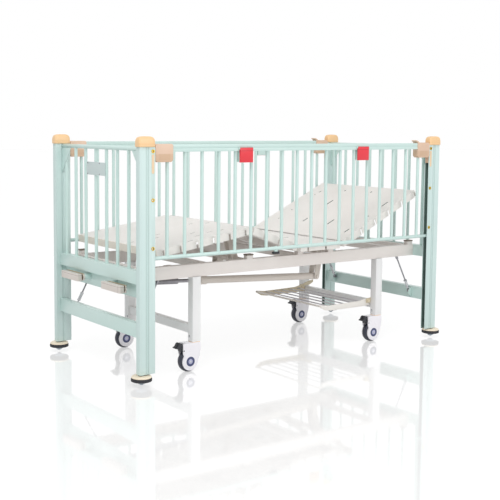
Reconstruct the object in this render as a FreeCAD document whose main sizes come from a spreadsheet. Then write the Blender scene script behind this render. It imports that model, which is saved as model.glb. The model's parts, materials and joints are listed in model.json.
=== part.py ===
import FreeCAD, Part
import math
import os
from FreeCAD import Placement, Rotation, Vector
import Sketcher

# Pediatric hospital cot. X runs along the cot (foot end at -X, head end at +X), Y across it
# (near side at -Y) and Z up. The origin is on the floor, under the middle of the cot.

doc = FreeCAD.newDocument("pediatric_cot")
sheet = doc.addObject("Spreadsheet::Sheet", "Sizes")
sheet_rows = 0
nodes = []


class Size:
    """A length or angle that carries its value and the sheet expression that gives it."""

    def __init__(self, value, text):
        self.value = float(value)
        self.text = text

    def __add__(self, other):
        other = as_size(other)
        return Size(self.value + other.value, f"({self.text} + {other.text})")

    def __radd__(self, other):
        return as_size(other) + self

    def __sub__(self, other):
        other = as_size(other)
        return Size(self.value - other.value, f"({self.text} - {other.text})")

    def __rsub__(self, other):
        return as_size(other) - self

    def __mul__(self, number):
        return Size(self.value * number, f"({self.text} * {float(number)!r})")

    __rmul__ = __mul__

    def __truediv__(self, number):
        return Size(self.value / number, f"({self.text} / {float(number)!r})")

    def __neg__(self):
        return Size(-self.value, f"(0 - {self.text})")


def as_size(number):
    """Return a Size as it is, and wrap a plain number."""
    return number if isinstance(number, Size) else Size(number, f"({float(number)!r})")


def driving(alias, value, note):
    """Enter one driving dimension in the sheet and return it as a Size."""
    global sheet_rows
    sheet_rows += 1
    sheet.set(f"A{sheet_rows}", note)
    sheet.set(f"B{sheet_rows}", str(value))
    sheet.setAlias(f"B{sheet_rows}", alias)
    return Size(value, f"Sizes.{alias}")


# ---------------------------------------------------------------- driving dimensions (mm, degrees)
post_x = driving("post_x", 905, "post centre from the middle, along the cot")
post_y = driving("post_y", 413, "post centre from the middle, across the cot")
post_length = driving("post_length", 80, "post section along the cot")
post_width = driving("post_width", 30, "post section across the cot")
post_base = driving("post_base", 53, "underside of the posts")
post_top = driving("post_top", 1062, "top of the posts")
post_wall = driving("post_wall", 4, "wall of the post profile")
chamber_wall = driving("chamber_wall", 2.5, "wall of the closed chamber of a post")
slot_depth = driving("slot_depth", 30, "depth of the guard slot in the post")
groove = driving("groove", 3, "width of the decorative groove on the post")
lock_top = driving("lock_top", 1043, "height of the upper latch bushing")
guard_travel = driving("guard_travel", 429, "full travel of a guard rail")
lock_inset = driving("lock_inset", 12, "latch bushing from the slotted face of the post")
bushing_radius = driving("bushing_radius", 6.2, "barrel radius of a latch bushing")
cap_height = driving("cap_height", 47, "height of the post cap")
cap_overhang = driving("cap_overhang", 6, "cap beyond the post on every side")

board_lift = driving("board_lift", 450, "underside of the middle crossbars")
bar_height = driving("bar_height", 60, "height of the middle crossbars and side rails")
low_bar_lift = driving("low_bar_lift", 210, "underside of the low crossbars")
low_bar_height = driving("low_bar_height", 65, "height of the low crossbars")
crossbar_depth = driving("crossbar_depth", 32, "depth of a crossbar along the cot")
foot_board_x = driving("foot_board_x", -910, "middle of the foot crossbars")
head_board_x = driving("head_board_x", 892, "middle of the head crossbars")
foot_bar_x = driving("foot_bar_x", -902, "line of the foot board bars")
head_bar_x = driving("head_bar_x", 889, "line of the head board bars")
board_tube = driving("board_tube", 20, "diameter of the top tube of a board")
bar_diameter = driving("bar_diameter", 16, "diameter of every upright bar")
bar_wall = driving("bar_wall", 1.5, "wall of a round tube")
box_wall = driving("box_wall", 2, "wall of a rectangular tube")
board_pitch = driving("board_pitch", 104, "pitch of the bars of a board")
board_bars = driving("board_bars", 8, "number of bars of a board")
crank_bar_base = driving("crank_bar_base", 380, "underside of the bar that carries the cranks")

rail_y = driving("rail_y", 301, "middle of a side rail of the bed frame")
rail_width = driving("rail_width", 30, "width of a side rail of the bed frame")
leg_y = driving("leg_y", 302, "middle of a caster leg, across the cot")
leg_foot_x = driving("leg_foot_x", -572, "middle of the foot legs")
leg_head_x = driving("leg_head_x", 614, "middle of the head legs")
leg_length = driving("leg_length", 45, "leg section along the cot")
leg_width = driving("leg_width", 40, "leg section across the cot")
leg_base = driving("leg_base", 141, "underside of the legs")
leg_bar_lift = driving("leg_bar_lift", 178, "underside of the bar between two legs")

wheel_radius = driving("wheel_radius", 51, "caster wheel radius")
wheel_width = driving("wheel_width", 34, "caster wheel width")
caster_trail = driving("caster_trail", 36, "wheel axle behind the swivel axis")
shell_wall = driving("shell_wall", 6, "thickness of a caster shell side")
shell_radius = driving("shell_radius", 43, "radius of the shell side around the axle")
caster_gap = driving("caster_gap", 0.8, "gap beside a caster wheel")

platform_top = driving("platform_top", 570, "top of the flat platform")
platform_half = driving("platform_half", 380, "half the platform width")
panel_depth = driving("panel_depth", 36, "depth of a platform panel")
sheet_metal = driving("sheet_metal", 2, "thickness of the pressed sheet")
hinge_gap = driving("hinge_gap", 11, "panel end from its hinge axis")
hinge_drop = driving("hinge_drop", 12, "hinge axis below the platform top")
seat_end = driving("seat_end", 283, "hinge between the seat and the back")
back_length = driving("back_length", 587, "back hinge to the head edge")
thigh_length = driving("thigh_length", 310, "seat hinge to the knee hinge")
leg_panel_length = driving("leg_panel_length", 545, "knee hinge to the foot edge")
back_angle = driving("back_angle", 24.9, "back raised in the resting pose")
thigh_angle = driving("thigh_angle", 20, "thigh raised in the resting pose")
leg_angle = driving("leg_angle", 8.2, "leg section falling to the foot in the resting pose")
notch_width = driving("notch_width", 10, "width of a notch in the panel flanges")

guard_base = driving("guard_base", 559, "underside of the guard, raised")
guard_tube = driving("guard_tube", 18, "diameter of the lower guard rail")
guard_top = driving("guard_top", 1072, "top of the guard, raised")
guard_rail_height = driving("guard_rail_height", 32, "height of the upper guard rail")
guard_rail_width = driving("guard_rail_width", 30, "width of the upper guard rail")
guard_pitch = driving("guard_pitch", 93.5, "pitch of the guard bars")
guard_inner_bars = driving("guard_inner_bars", 16, "guard bars that reach the upper rail")
block_length = driving("block_length", 90, "length of a guard end block")
block_base = driving("block_base", 995, "underside of the guard end blocks")
block_width = driving("block_width", 36, "width of a guard end block")
shoe_width = driving("shoe_width", 20, "width of the guide shoe in the post slot")
latch_x = driving("latch_x", 372, "middle of a latch handle")
latch_width = driving("latch_width", 74, "width of a latch handle")
latch_base = driving("latch_base", 987, "underside of a latch handle")
latch_top = driving("latch_top", 1056, "top of a latch handle")
pin_diameter = driving("pin_diameter", 8, "diameter of a latch pin")

crank_z = driving("crank_z", 420, "height of both crank axes")
drive_y = driving("drive_y", 132, "line of a drive, across the cot")
crank_arm = driving("crank_arm", 155, "crank axis to the grip hinge")
crank_sleeve_length = driving("crank_sleeve_length", 35.5, "bearing sleeve in front of the crank bar")
crank_front = driving("crank_front", -970, "outer face of a folded crank")
crank_height = driving("crank_height", 34, "height of a folded crank")
ball_x = driving("ball_x", -850, "universal joint of the back drive, along the cot")
screw_radius = driving("screw_radius", 9, "radius of a drive screw")
tube_radius = driving("tube_radius", 18, "radius of a push tube")
back_shaft_x = driving("back_shaft_x", 335, "lift shaft of the back, along the cot")
back_shaft_z = driving("back_shaft_z", 490, "lift shaft of the back, height")
back_arm = driving("back_arm", 250, "lift shaft of the back to its pads")
back_pin_x = driving("back_pin_x", 314, "lever tip of the back, along the cot")
back_pin_z = driving("back_pin_z", 356, "lever tip of the back, height")
knee_shaft_x = driving("knee_shaft_x", -130, "lift shaft of the knees, along the cot")
knee_shaft_z = driving("knee_shaft_z", 466, "lift shaft of the knees, height")
knee_arm = driving("knee_arm", 116, "lift shaft of the knees to its pad")
knee_pin_x = driving("knee_pin_x", -139, "lever tip of the knees, along the cot")
shaft_radius = driving("shaft_radius", 15, "radius of a lift shaft")
pad_radius = driving("pad_radius", 18, "radius of a lift pad")
pad_drop = driving("pad_drop", 40, "lift pad centre below the line of a hinge")
pad_row = driving("pad_row", 190, "middle of a back lift pad, across the cot")
fork_gap = driving("fork_gap", 40, "gap between the plates of a lever")

rack_x = driving("rack_x", 577, "pivot of the rack, along the cot")
rack_z = driving("rack_z", 218, "pivot of the rack, height")
rack_y = driving("rack_y", 273, "middle of a rack arm, across the cot")
rack_reach = driving("rack_reach", 345, "pivot of the rack to its outer bar")
tie_length = driving("tie_length", 224, "length of a tie rod")
tie_y = driving("tie_y", 306, "line of the tie rods")
disc_radius = driving("disc_radius", 47.5, "radius of a bumper roller")
disc_offset = driving("disc_offset", 22, "bumper axis outside the post centre")
doc.recompute()

end_inset = post_y - post_width / 2
slot_half = post_width / 2 - post_wall
hinge_z = platform_top - hinge_drop
panel_base = platform_top - panel_depth
rail_top = board_lift + bar_height


# ---------------------------------------------------------------- helpers
def bind(thing, name, size):
    """Set a property to a size and bind it to the sheet."""
    thing.setExpression(name, as_size(size).text)


def place(thing, corner, rotation=None):
    """Give an object a placement whose position is bound to the sheet."""
    corner = [as_size(part) for part in corner]
    base = Vector(*[part.value for part in corner])
    thing.Placement = Placement(base, rotation or Rotation())
    for axis, part in zip("xyz", corner):
        bind(thing, f"Placement.Base.{axis}", part)
    return thing


def box(low, high, name="Block"):
    """A box between two opposite corners."""
    low = [as_size(part) for part in low]
    high = [as_size(part) for part in high]
    solid = doc.addObject("Part::Box", name)
    for side, start, end in zip(("Length", "Width", "Height"), low, high):
        bind(solid, side, end - start)
    return place(solid, low)


AXIS_TURN = {
    "x": Rotation(Vector(0, 1, 0), 90),
    "y": Rotation(Vector(1, 0, 0), -90),
    "z": Rotation(),
}


def rod(axis, radius, start, length, name="Rod"):
    """A cylinder from a start point along +X, +Y or +Z."""
    solid = doc.addObject("Part::Cylinder", name)
    bind(solid, "Radius", radius)
    bind(solid, "Height", length)
    return place(solid, start, AXIS_TURN[axis])


def box_tube(axis, low, high, name="BoxTube"):
    """A rectangular tube along an axis, open at both ends."""
    long_way = "xyz".index(axis)
    inner_low = [as_size(part) + box_wall for part in low]
    inner_high = [as_size(part) - box_wall for part in high]
    inner_low[long_way] = as_size(low[long_way]) - 1
    inner_high[long_way] = as_size(high[long_way]) + 1
    return cut(box(low, high), [box(inner_low, inner_high)], name)


def cone(base_radius, top_radius, start, length, name="Cone"):
    """A cone from a start point along +Z."""
    solid = doc.addObject("Part::Cone", name)
    bind(solid, "Radius1", base_radius)
    bind(solid, "Radius2", top_radius)
    bind(solid, "Height", length)
    return place(solid, start)


def fuse(parts, name="Fusion"):
    """Join touching solids into one."""
    solid = doc.addObject("Part::MultiFuse", name)
    solid.Shapes = parts
    return solid


def cut(base, tools, name="Cut"):
    """Cut one or more tools out of a solid."""
    solid = doc.addObject("Part::Cut", name)
    solid.Base = base
    solid.Tool = tools[0] if len(tools) == 1 else fuse(tools, "Cutters")
    return solid


def group(parts, name="Group"):
    """Keep several solids together as one sub-part."""
    solids = doc.addObject("Part::Compound", name)
    solids.Links = parts
    return solids


def mirror(source, normal, name="Mirrored"):
    """A mirror image across a plane through the origin."""
    image = doc.addObject("Part::Mirroring", name)
    image.Source = source
    image.Base = Vector(0, 0, 0)
    image.Normal = normal
    return image


ACROSS = Vector(0, 1, 0)
ALONG = Vector(1, 0, 0)


def both_sides(solid):
    """A solid with its mirror image on the other side of the cot."""
    return [solid, mirror(solid, ACROSS)]


def four_corners(solid):
    """A solid and its images at the other three corners."""
    pair = both_sides(solid)
    return pair + [mirror(part, ALONG) for part in pair]


def node(solid, label):
    """Record a finished sub-part under its own name."""
    solid.Label = label
    nodes.append(solid)
    return solid


# ---------------------------------------------------------------- sketch and body helpers
def body_sketch(body, plane, shift=0):
    """A sketch on one of the body's own origin planes, shifted along its normal."""
    drawing = body.newObject("Sketcher::SketchObject", "Drawing")
    origin_plane = [part for part in body.Origin.OriginFeatures if part.Role == plane][0]
    drawing.AttachmentSupport = [(origin_plane, "")]
    drawing.MapMode = "FlatFace"
    bind(drawing, "AttachmentOffset.Base.z", shift)
    return drawing


def fix_point(drawing, geometry, end, point):
    """Tie one point of a sketch to its coordinates."""
    for kind, own_axis, size in (("DistanceX", -2, as_size(point[0])), ("DistanceY", -1, as_size(point[1]))):
        if size.value == 0:
            drawing.addConstraint(Sketcher.Constraint("PointOnObject", geometry, end, own_axis))
        else:
            index = drawing.addConstraint(Sketcher.Constraint(kind, -1, 1, geometry, end, size.value))
            drawing.setExpression(f"Constraints[{index}]", size.text)


def outline(drawing, points):
    """A closed outline of straight lines through points bound to the sheet."""
    corners = [[as_size(part) for part in point] for point in points]
    vectors = [Vector(x.value, y.value, 0) for x, y in corners]
    first = drawing.GeometryCount
    count = len(corners)
    for index in range(count):
        drawing.addGeometry(Part.LineSegment(vectors[index], vectors[(index + 1) % count]), False)
    for index in range(count):
        after = first + (index + 1) % count
        drawing.addConstraint(Sketcher.Constraint("Coincident", first + index, 2, after, 1))
        fix_point(drawing, first + index, 1, corners[index])


def circle(drawing, centre, radius):
    """A circle bound to the sheet."""
    centre = [as_size(part) for part in centre]
    radius = as_size(radius)
    middle = Vector(centre[0].value, centre[1].value, 0)
    index = drawing.addGeometry(Part.Circle(middle, Vector(0, 0, 1), radius.value), False)
    fix_point(drawing, index, 3, centre)
    size = drawing.addConstraint(Sketcher.Constraint("Radius", index, radius.value))
    drawing.setExpression(f"Constraints[{size}]", radius.text)


def pad(body, drawing, length, midplane=False, reverse=False):
    """Pad a sketch."""
    feature = body.newObject("PartDesign::Pad", "Pad")
    feature.Profile = drawing
    bind(feature, "Length", length)
    feature.Midplane = midplane
    feature.Reversed = reverse
    return feature


def pocket(body, drawing, length, midplane=False, reverse=False):
    """Cut a sketch into the body."""
    feature = body.newObject("PartDesign::Pocket", "Pocket")
    feature.Profile = drawing
    bind(feature, "Length", length)
    feature.Midplane = midplane
    feature.Reversed = reverse
    return feature


def pattern(body, source, role, length, count):
    """Repeat a feature in a line along one of the body's axes."""
    feature = body.newObject("PartDesign::LinearPattern", "Pattern")
    axis = [part for part in body.Origin.OriginFeatures if part.Role == role][0]
    feature.Originals = [source]
    feature.Direction = (axis, [""])
    bind(feature, "Length", length)
    bind(feature, "Occurrences", count)
    body.Tip = feature
    return feature


def new_body(name):
    """A body that may hold several separate solids."""
    body = doc.addObject("PartDesign::Body", name)
    body.AllowCompound = True
    return body


def extruded(name, plane, points, length, midplane=True):
    """A body made of one padded outline."""
    body = new_body(name)
    drawing = body_sketch(body, plane)
    outline(drawing, points)
    pad(body, drawing, length, midplane)
    return body


def turned(name, points):
    """A body turned about the Z axis from an outline of (radius, height) points."""
    body = new_body(name)
    drawing = body_sketch(body, "XZ_Plane")
    outline(drawing, points)
    feature = body.newObject("PartDesign::Revolution", "Revolution")
    feature.Profile = drawing
    feature.ReferenceAxis = (drawing, ["V_Axis"])
    feature.Angle = 360
    return body


# ---------------------------------------------------------------- corner posts
def corner_post():
    """The foot post on the near side: an open profile with the guard slot facing the head end."""
    side, half = post_length / 2, post_width / 2
    notch = groove / 2
    body = new_body("Post")
    drawing = body_sketch(body, "XY_Plane", post_base)
    outline(drawing, [
        (-side, -half), (-notch, -half), (-notch, notch - half), (notch, notch - half), (notch, -half),
        (side, -half), (side, -slot_half), (side - slot_depth, -slot_half),
        (side - slot_depth, slot_half), (side, slot_half), (side, half),
        (notch, half), (notch, half - notch), (-notch, half - notch), (-notch, half), (-side, half),
    ])
    inner = side - slot_depth - chamber_wall
    outline(drawing, [
        (chamber_wall - side, chamber_wall - half), (inner, chamber_wall - half),
        (inner, half - chamber_wall), (chamber_wall - side, half - chamber_wall),
    ])
    pad(body, drawing, post_top - post_base)
    holes = body_sketch(body, "XZ_Plane", slot_half - 1)
    circle(holes, (side - lock_inset, lock_top - guard_travel), bushing_radius)
    hole = pocket(body, holes, post_wall + 2, reverse=True)
    pattern(body, hole, "Z_Axis", guard_travel, 3)
    return place(body, (-post_x, -post_y, 0))


near_post = corner_post()
foot_posts = node(group(both_sides(near_post)), "foot_posts")
node(mirror(foot_posts, ALONG), "head_posts")


def post_cap():
    """A pillow-topped cap that ends flush with the slotted face of its post."""
    inner = post_length / 2
    outer = inner + cap_overhang
    half = post_width / 2 + cap_overhang
    along = extruded("CapAlong", "XZ_Plane", [
        (2 - outer, 0), (inner - 2, 0), (inner, 4), (inner, 24), (inner - 3, 33), (inner - 10, 41),
        (inner - 22, cap_height), (24 - outer, cap_height), (11 - outer, 42), (3 - outer, 33),
        (-outer, 23), (-outer, 5),
    ], half * 2)
    across = extruded("CapAcross", "YZ_Plane", [
        (-half, 0), (half, 0), (half, 28), (half - 4, 39), (half - 12, cap_height),
        (12 - half, cap_height), (4 - half, 39), (-half, 28),
    ], outer * 2)
    cap = doc.addObject("Part::Common", "Cap")
    cap.Base = along
    cap.Tool = across
    return place(cap, (-post_x, -post_y, post_top))


node(group(four_corners(post_cap())), "post_caps")

lock_x = post_length / 2 - lock_inset - post_x
post_face = -post_y - post_width / 2


def latch_bushing(height):
    """A flanged eyelet in the outer lip of the post slot, which a latch pin enters."""
    flange = rod("y", pin_diameter, (lock_x, post_face - 2, height), 2)
    barrel = rod("y", bushing_radius, (lock_x, post_face, height), post_wall)
    bore = rod("y", pin_diameter / 2 + 0.2, (lock_x, post_face - 3, height), post_wall + 4)
    return cut(fuse([flange, barrel]), [bore])


def rack_bracket():
    """The plate on the inner face of a head leg that carries the rack, with its pivot bolt."""
    face = leg_y - leg_width / 2
    plate = extruded("RackBracket", "XZ_Plane", [
        (-14, -12), (14, -12), (17, 2), (60, 6), (86, 20), (86, 34), (52, 28), (10, 14), (-14, 12),
    ], 4)
    place(plate, (rack_x, 2 - face, rack_z))
    head = rod("y", 9, (rack_x, -face - 6, rack_z), 6)
    shank = rod("y", 5, (rack_x, -face - 1, rack_z), face - rack_y + 6)
    return fuse([plate, head, shank])


bushings = [latch_bushing(lock_top - guard_travel * step) for step in (0, 0.5, 1)]
fittings = [part for bushing in bushings for part in four_corners(bushing)]
node(group(fittings + both_sides(rack_bracket())), "zinc_fittings")


def guide_strip():
    """The plastic wear strip below the upper bushing on the outer face of a post."""
    top = lock_top - 14
    strip = box((lock_x - 6, post_face - 1.5, top - 78), (lock_x + 6, post_face, top))
    return fuse([strip, rod("y", 6, (lock_x, post_face - 1.5, top - 78), 1.5)])


node(group(four_corners(guide_strip())), "guide_strips")


# ---------------------------------------------------------------- bumper rollers under the posts
def bumper_mount():
    """The fixed stub, cover disc and lower cone that hold one bumper roller."""
    place_x = -post_x - disc_offset
    neck = rod("z", 13, (place_x, -post_y, 48), post_base - 48)
    cover = cone(disc_radius - 1.5, disc_radius - 5, (place_x, -post_y, 40), 8)
    axle = rod("z", 8, (place_x, -post_y, 22), 19)
    lower = cone(6, 25, (place_x, -post_y, 7), 16)
    return fuse([neck, cover, axle, lower])


node(group(four_corners(bumper_mount())), "bumper_mounts")


def bumper_roller(label, side_x, side_y):
    """A rubber roller that turns freely about the vertical axle."""
    ring = turned("Roller", [
        (8.05, 23.5), (disc_radius - 5, 23.5), (disc_radius, 27), (disc_radius, 36),
        (disc_radius - 3, 39.5), (8.05, 39.5),
    ])
    node(place(ring, ((post_x + disc_offset) * side_x, post_y * side_y, 0)), label)


for end, side_x in (("foot", -1), ("head", 1)):
    for side, side_y in (("near", -1), ("far", 1)):
        bumper_roller(f"{end}_{side}_bumper_roller", side_x, side_y)


# ---------------------------------------------------------------- foot and head boards
def top_tube(bar_x):
    """The tube along the top of an end board."""
    return rod("y", board_tube / 2, (bar_x, -end_inset, post_top - board_tube / 2), end_inset * 2)


def board_rails(board_x, bar_x, outward):
    """The crossbars, top tube, corner gussets and tie lugs of one end board."""
    half = crossbar_depth / 2
    inner_face = board_x - outward * half
    solids = []
    for low, height in ((board_lift, bar_height), (low_bar_lift, low_bar_height)):
        start = (board_x - half, -end_inset, low)
        solids.append(box_tube("y", start, (board_x + half, end_inset, low + height)))
    gusset_top = post_top - board_tube
    gusset = extruded("Gusset", "YZ_Plane", [
        (-end_inset, gusset_top), (-end_inset, gusset_top - 125), (95 - end_inset, gusset_top),
    ], 4)
    place(gusset, (bar_x + outward * 7, 0, 0))
    bar_space = rod("z", bar_diameter / 2 + 0.1, (bar_x, -board_pitch * 3.5, gusset_top - 130), 140)
    gusset = cut(gusset, [bar_space])
    lug = extruded("TieLug", "XZ_Plane", [
        (0, 8), (-outward * 16, 12), (-outward * 26, 24), (-outward * 26, 44), (-outward * 14, 56), (0, 58),
    ], 6)
    place(lug, (inner_face, -tie_y - 8, low_bar_lift))
    return solids + [top_tube(bar_x)] + both_sides(gusset) + both_sides(lug)


def board_uprights(bar_x):
    """The row of upright bars of one end board, coped to the top tube."""
    body = new_body("BoardBars")
    drawing = body_sketch(body, "XY_Plane", rail_top)
    span = board_pitch * 7
    circle(drawing, (0, -span / 2), bar_diameter / 2)
    circle(drawing, (0, -span / 2), bar_diameter / 2 - bar_wall)
    bar = pad(body, drawing, post_top - board_tube / 2 - rail_top)
    pattern(body, bar, "Y_Axis", span, board_bars)
    return cut(place(body, (bar_x, 0, 0)), [top_tube(bar_x)])


foot_inner = foot_board_x + crossbar_depth / 2
head_inner = head_board_x - crossbar_depth / 2
crank_end = (foot_inner + 18, end_inset, board_lift - 1)
crank_bar = box_tube("y", (foot_inner, -end_inset, crank_bar_base), crank_end)
crank_sleeve = rod("x", 16, (foot_inner - crank_sleeve_length, -drive_y, crank_z), crank_sleeve_length + 1)
crank_holes = [rod("x", 12.05, (foot_inner - 40, y, crank_z), 62) for y in (-drive_y, drive_y)]
crank_support = cut(fuse([crank_bar] + both_sides(crank_sleeve)), crank_holes)
node(group(board_rails(foot_board_x, foot_bar_x, -1) + [crank_support]), "foot_board_rails")
node(board_uprights(foot_bar_x), "foot_board_bars")
node(group(board_rails(head_board_x, head_bar_x, 1)), "head_board_rails")
node(board_uprights(head_bar_x), "head_board_bars")

card_face = foot_bar_x - bar_diameter / 2
node(box((card_face - 3, -57, 919), (card_face, 127, 981)), "card_plate")


# ---------------------------------------------------------------- bed frame, legs and braces
rail_outer = rail_y + rail_width / 2
rail_inner = rail_y - rail_width / 2
rest_places = (-846, -255, 65, 268, 852)


def side_rail():
    """The near side rail, bored for the ends of both lift shafts."""
    rail = box_tube("x", (foot_inner, -rail_outer, board_lift), (head_inner, -rail_inner, rail_top))
    bores = []
    for shaft_x, shaft_z in ((back_shaft_x, back_shaft_z), (knee_shaft_x, knee_shaft_z)):
        bores.append(rod("y", 8.05, (shaft_x, -rail_inner - 16, shaft_z), 18))
    return cut(rail, bores)


def bed_frame():
    """Side rails, cross tubes, end tubes and the uprights that carry the platform."""
    solids = both_sides(side_rail())
    for x in (foot_inner + 35, -500, 90, 700, head_inner - 25):
        solids.append(box_tube("y", (x - 15, -rail_inner, rail_top - 32), (x + 15, rail_inner, rail_top - 2)))
    for x in rest_places:
        solids += both_sides(box((x - 18, -rail_y - 14, rail_top), (x + 18, 14 - rail_y, panel_base - 6)))
    return solids


node(group(bed_frame()), "bed_frame")

pads = []
for rest_x in rest_places:
    pads += both_sides(box((rest_x - 20, -rail_y - 15, panel_base - 6),
                           (rest_x + 20, 15 - rail_y, panel_base - 0.3)))
node(group(pads), "rest_pads")


def leg_frame(leg_x):
    """Two legs under the side rails, bored for the caster stems, and the bar that ties them."""
    half = leg_length / 2
    low = (leg_x - half, -leg_y - leg_width / 2, leg_base)
    high = (leg_x + half, leg_width / 2 - leg_y, board_lift)
    socket = rod("z", leg_width / 2 - 1, (leg_x, -leg_y, leg_base), 31)
    leg = cut(fuse([box_tube("z", low, high), socket]), [rod("z", 11.05, (leg_x, -leg_y, leg_base - 1), 33)])
    inner = leg_y - leg_width / 2
    tie = box_tube("y", (leg_x - 18, -inner, leg_bar_lift), (leg_x + 12, inner, leg_bar_lift + 40))
    return both_sides(leg) + [tie]


node(group(leg_frame(leg_foot_x) + leg_frame(leg_head_x)), "leg_frames")


def tie_rod(inner_face, inward):
    """A brace from the lug on a low crossbar up to the side rail, with its turnbuckle sleeve."""
    eye = rod("y", 10, (0, -4.5, 0), 9)
    brace = rod("x", 4, (0, 0, 0), tie_length)
    sleeve = rod("x", 7.5, (24, 0, 0), 42)
    foot = rod("x", 7, (tie_length - 16, 0, 0), 16)
    rise = board_lift.value - low_bar_lift.value - 42
    turn = math.degrees(math.asin(rise / tie_length.value))
    angle = turn if inward > 0 else 180 - turn
    rods = fuse([eye, brace, sleeve, foot])
    place(rods, (inner_face + inward * 14, -tie_y, low_bar_lift + 42), Rotation(Vector(0, 1, 0), -angle))
    trim = box((inner_face + inward * 100 - 100, -tie_y - 20, board_lift),
               (inner_face + inward * 100 + 100, 20 - tie_y, board_lift + 30))
    return both_sides(cut(rods, [trim]))


node(group(tie_rod(foot_inner, 1) + tie_rod(head_inner, -1)), "tie_rods")


# ---------------------------------------------------------------- platform
def panel(length, first_notch, notches, notch_pitch, slots, holes=()):
    """A pressed pan lying from x = 0 to x = length, top face at z = 0, with its flanges below."""
    body = new_body("Panel")
    drawing = body_sketch(body, "XY_Plane")
    outline(drawing, [
        (0, -platform_half), (length, -platform_half), (length, platform_half), (0, platform_half),
    ])
    pad(body, drawing, panel_depth, reverse=True)
    inside = body_sketch(body, "XY_Plane", -panel_depth)
    inner = platform_half - sheet_metal
    outline(inside, [
        (sheet_metal, -inner), (length - sheet_metal, -inner),
        (length - sheet_metal, inner), (sheet_metal, inner),
    ])
    pocket(body, inside, panel_depth - sheet_metal, reverse=True)
    notch = body_sketch(body, "XZ_Plane")
    outline(notch, [
        (first_notch, -panel_depth - 1), (first_notch + notch_width, -panel_depth - 1),
        (first_notch + notch_width, -8), (first_notch, -8),
    ])
    flange_cut = pocket(body, notch, platform_half * 2 + 2, midplane=True)
    pattern(body, flange_cut, "X_Axis", notch_pitch * (notches - 1), notches)
    opening = body_sketch(body, "XY_Plane", -sheet_metal - 1)
    for slot_x, slot_y, slot_length, slot_width in slots:
        half = slot_width / 2
        outline(opening, [
            (slot_x, slot_y - half), (slot_x + slot_length, slot_y - half),
            (slot_x + slot_length, slot_y + half), (slot_x, slot_y + half),
        ])
    for hole_x, hole_y, hole_radius in holes:
        circle(opening, (hole_x, hole_y), hole_radius)
    pocket(body, opening, sheet_metal + 2, reverse=True)
    return body


def stiffeners(length, rows):
    """Channels under a panel."""
    low, high = 6 - panel_depth, -sheet_metal
    return [box_tube("x", (sheet_metal, y - 12, low), (length - sheet_metal, y + 12, high)) for y in rows]


def ears(axis_x, reach, rows, bore):
    """Hinge ears from a panel edge at reach to the hinge axis, with a bore for the pin."""
    solids = []
    low_x, high_x = sorted((as_size(axis_x), as_size(reach)), key=lambda part: part.value)
    for y in rows:
        ring = rod("y", 9.5, (axis_x, y - 4, -hinge_drop), 8)
        arm = box((low_x, y - 4, -hinge_drop - 9), (high_x, y + 4, -hinge_drop + 8))
        solids.append(cut(fuse([ring, arm]), [rod("y", bore, (axis_x, y - 6, -hinge_drop), 12)]))
    return solids


pin_rows = (-330, -110, 110, 330)
free_rows = tuple(y + 9 for y in pin_rows)
hinge_pin = 6.0
free_bore = 6.05


def pose(solid, hinge_x, hinge_height, angle, start):
    """Turn a panel modelled along +X about its hinge, its near end at start from the axis."""
    turn = Rotation(Vector(0, 1, 0), -angle)
    shift = turn.multVec(Vector(start.value, 0, hinge_drop.value))
    return place(solid, (hinge_x + shift.x, 0, hinge_height + shift.z), turn)


def arm_slope(from_hinge, shaft_z, angle, arm):
    """The angle between a raised panel and the lift arm whose pad lies pad_drop below the hinge line."""
    lean = math.radians(angle.value)
    drop = from_hinge.value * math.sin(lean) + (hinge_z - shaft_z).value * math.cos(lean)
    return math.asin((drop - pad_drop.value) / arm.value)


back_slope = arm_slope(back_shaft_x - seat_end, back_shaft_z, back_angle, back_arm)
knee_slope = arm_slope(-knee_shaft_x, knee_shaft_z, thigh_angle, knee_arm)


def back_cam():
    """The round-bottomed plate on which a lift pad of the back bears, exact at every angle."""
    radius = math.hypot((back_shaft_x - seat_end).value, (hinge_z - back_shaft_z).value) - pad_radius - 0.3
    centre_x = back_arm * math.cos(back_slope) - hinge_gap
    centre_z = back_arm * math.sin(back_slope) - hinge_drop
    cam = doc.addObject("Part::Common", "BackCam")
    cam.Base = rod("y", radius, (centre_x, -pad_row - 12, centre_z), 12)
    cam.Tool = box((40, -pad_row - 12, -panel_depth), (400, -pad_row, -sheet_metal))
    return cam


back_span = back_length - hinge_gap
back_slots = [(332, 88, 57, 9), (132, -127, 55, 9), (131, 76, 38, 9), (375, -316, 49, 9), (78, -319, 35, 9),
              (464, 288, 14, 9), (501, 107, 14, 9), (509, -101, 14, 9)]
back_holes = [(431, 293, 5), (237, 292, 5), (131, 291, 5), (368, -105, 5), (260, -322, 5)]
back_pan = panel(back_span, 133, 5, 107.5, back_slots, back_holes)
back_parts = [back_pan] + stiffeners(back_span, (-290, 0, 290)) + ears(-hinge_gap, 4, pin_rows, free_bore)
back_parts += both_sides(back_cam())
node(pose(fuse(back_parts), seat_end.value, hinge_z.value, back_angle.value, hinge_gap), "back_panel")

seat_span = seat_end - hinge_gap * 2
seat_pan = panel(seat_span, 44, 2, 118, [(90, -105, 55, 9), (90, 95, 55, 9)])
seat_parts = [seat_pan] + stiffeners(seat_span, (-290, 0, 290))
seat_parts += ears(-hinge_gap, 4, free_rows, hinge_pin)
seat_parts += ears(seat_span + hinge_gap, seat_span - 4, free_rows, hinge_pin)
node(place(fuse(seat_parts), (hinge_gap, 0, platform_top)), "seat_panel")

pins = [rod("y", hinge_pin, (x, -345, hinge_z), 700) for x in (0, seat_end)]
node(group(pins), "seat_hinge_pins")

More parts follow.
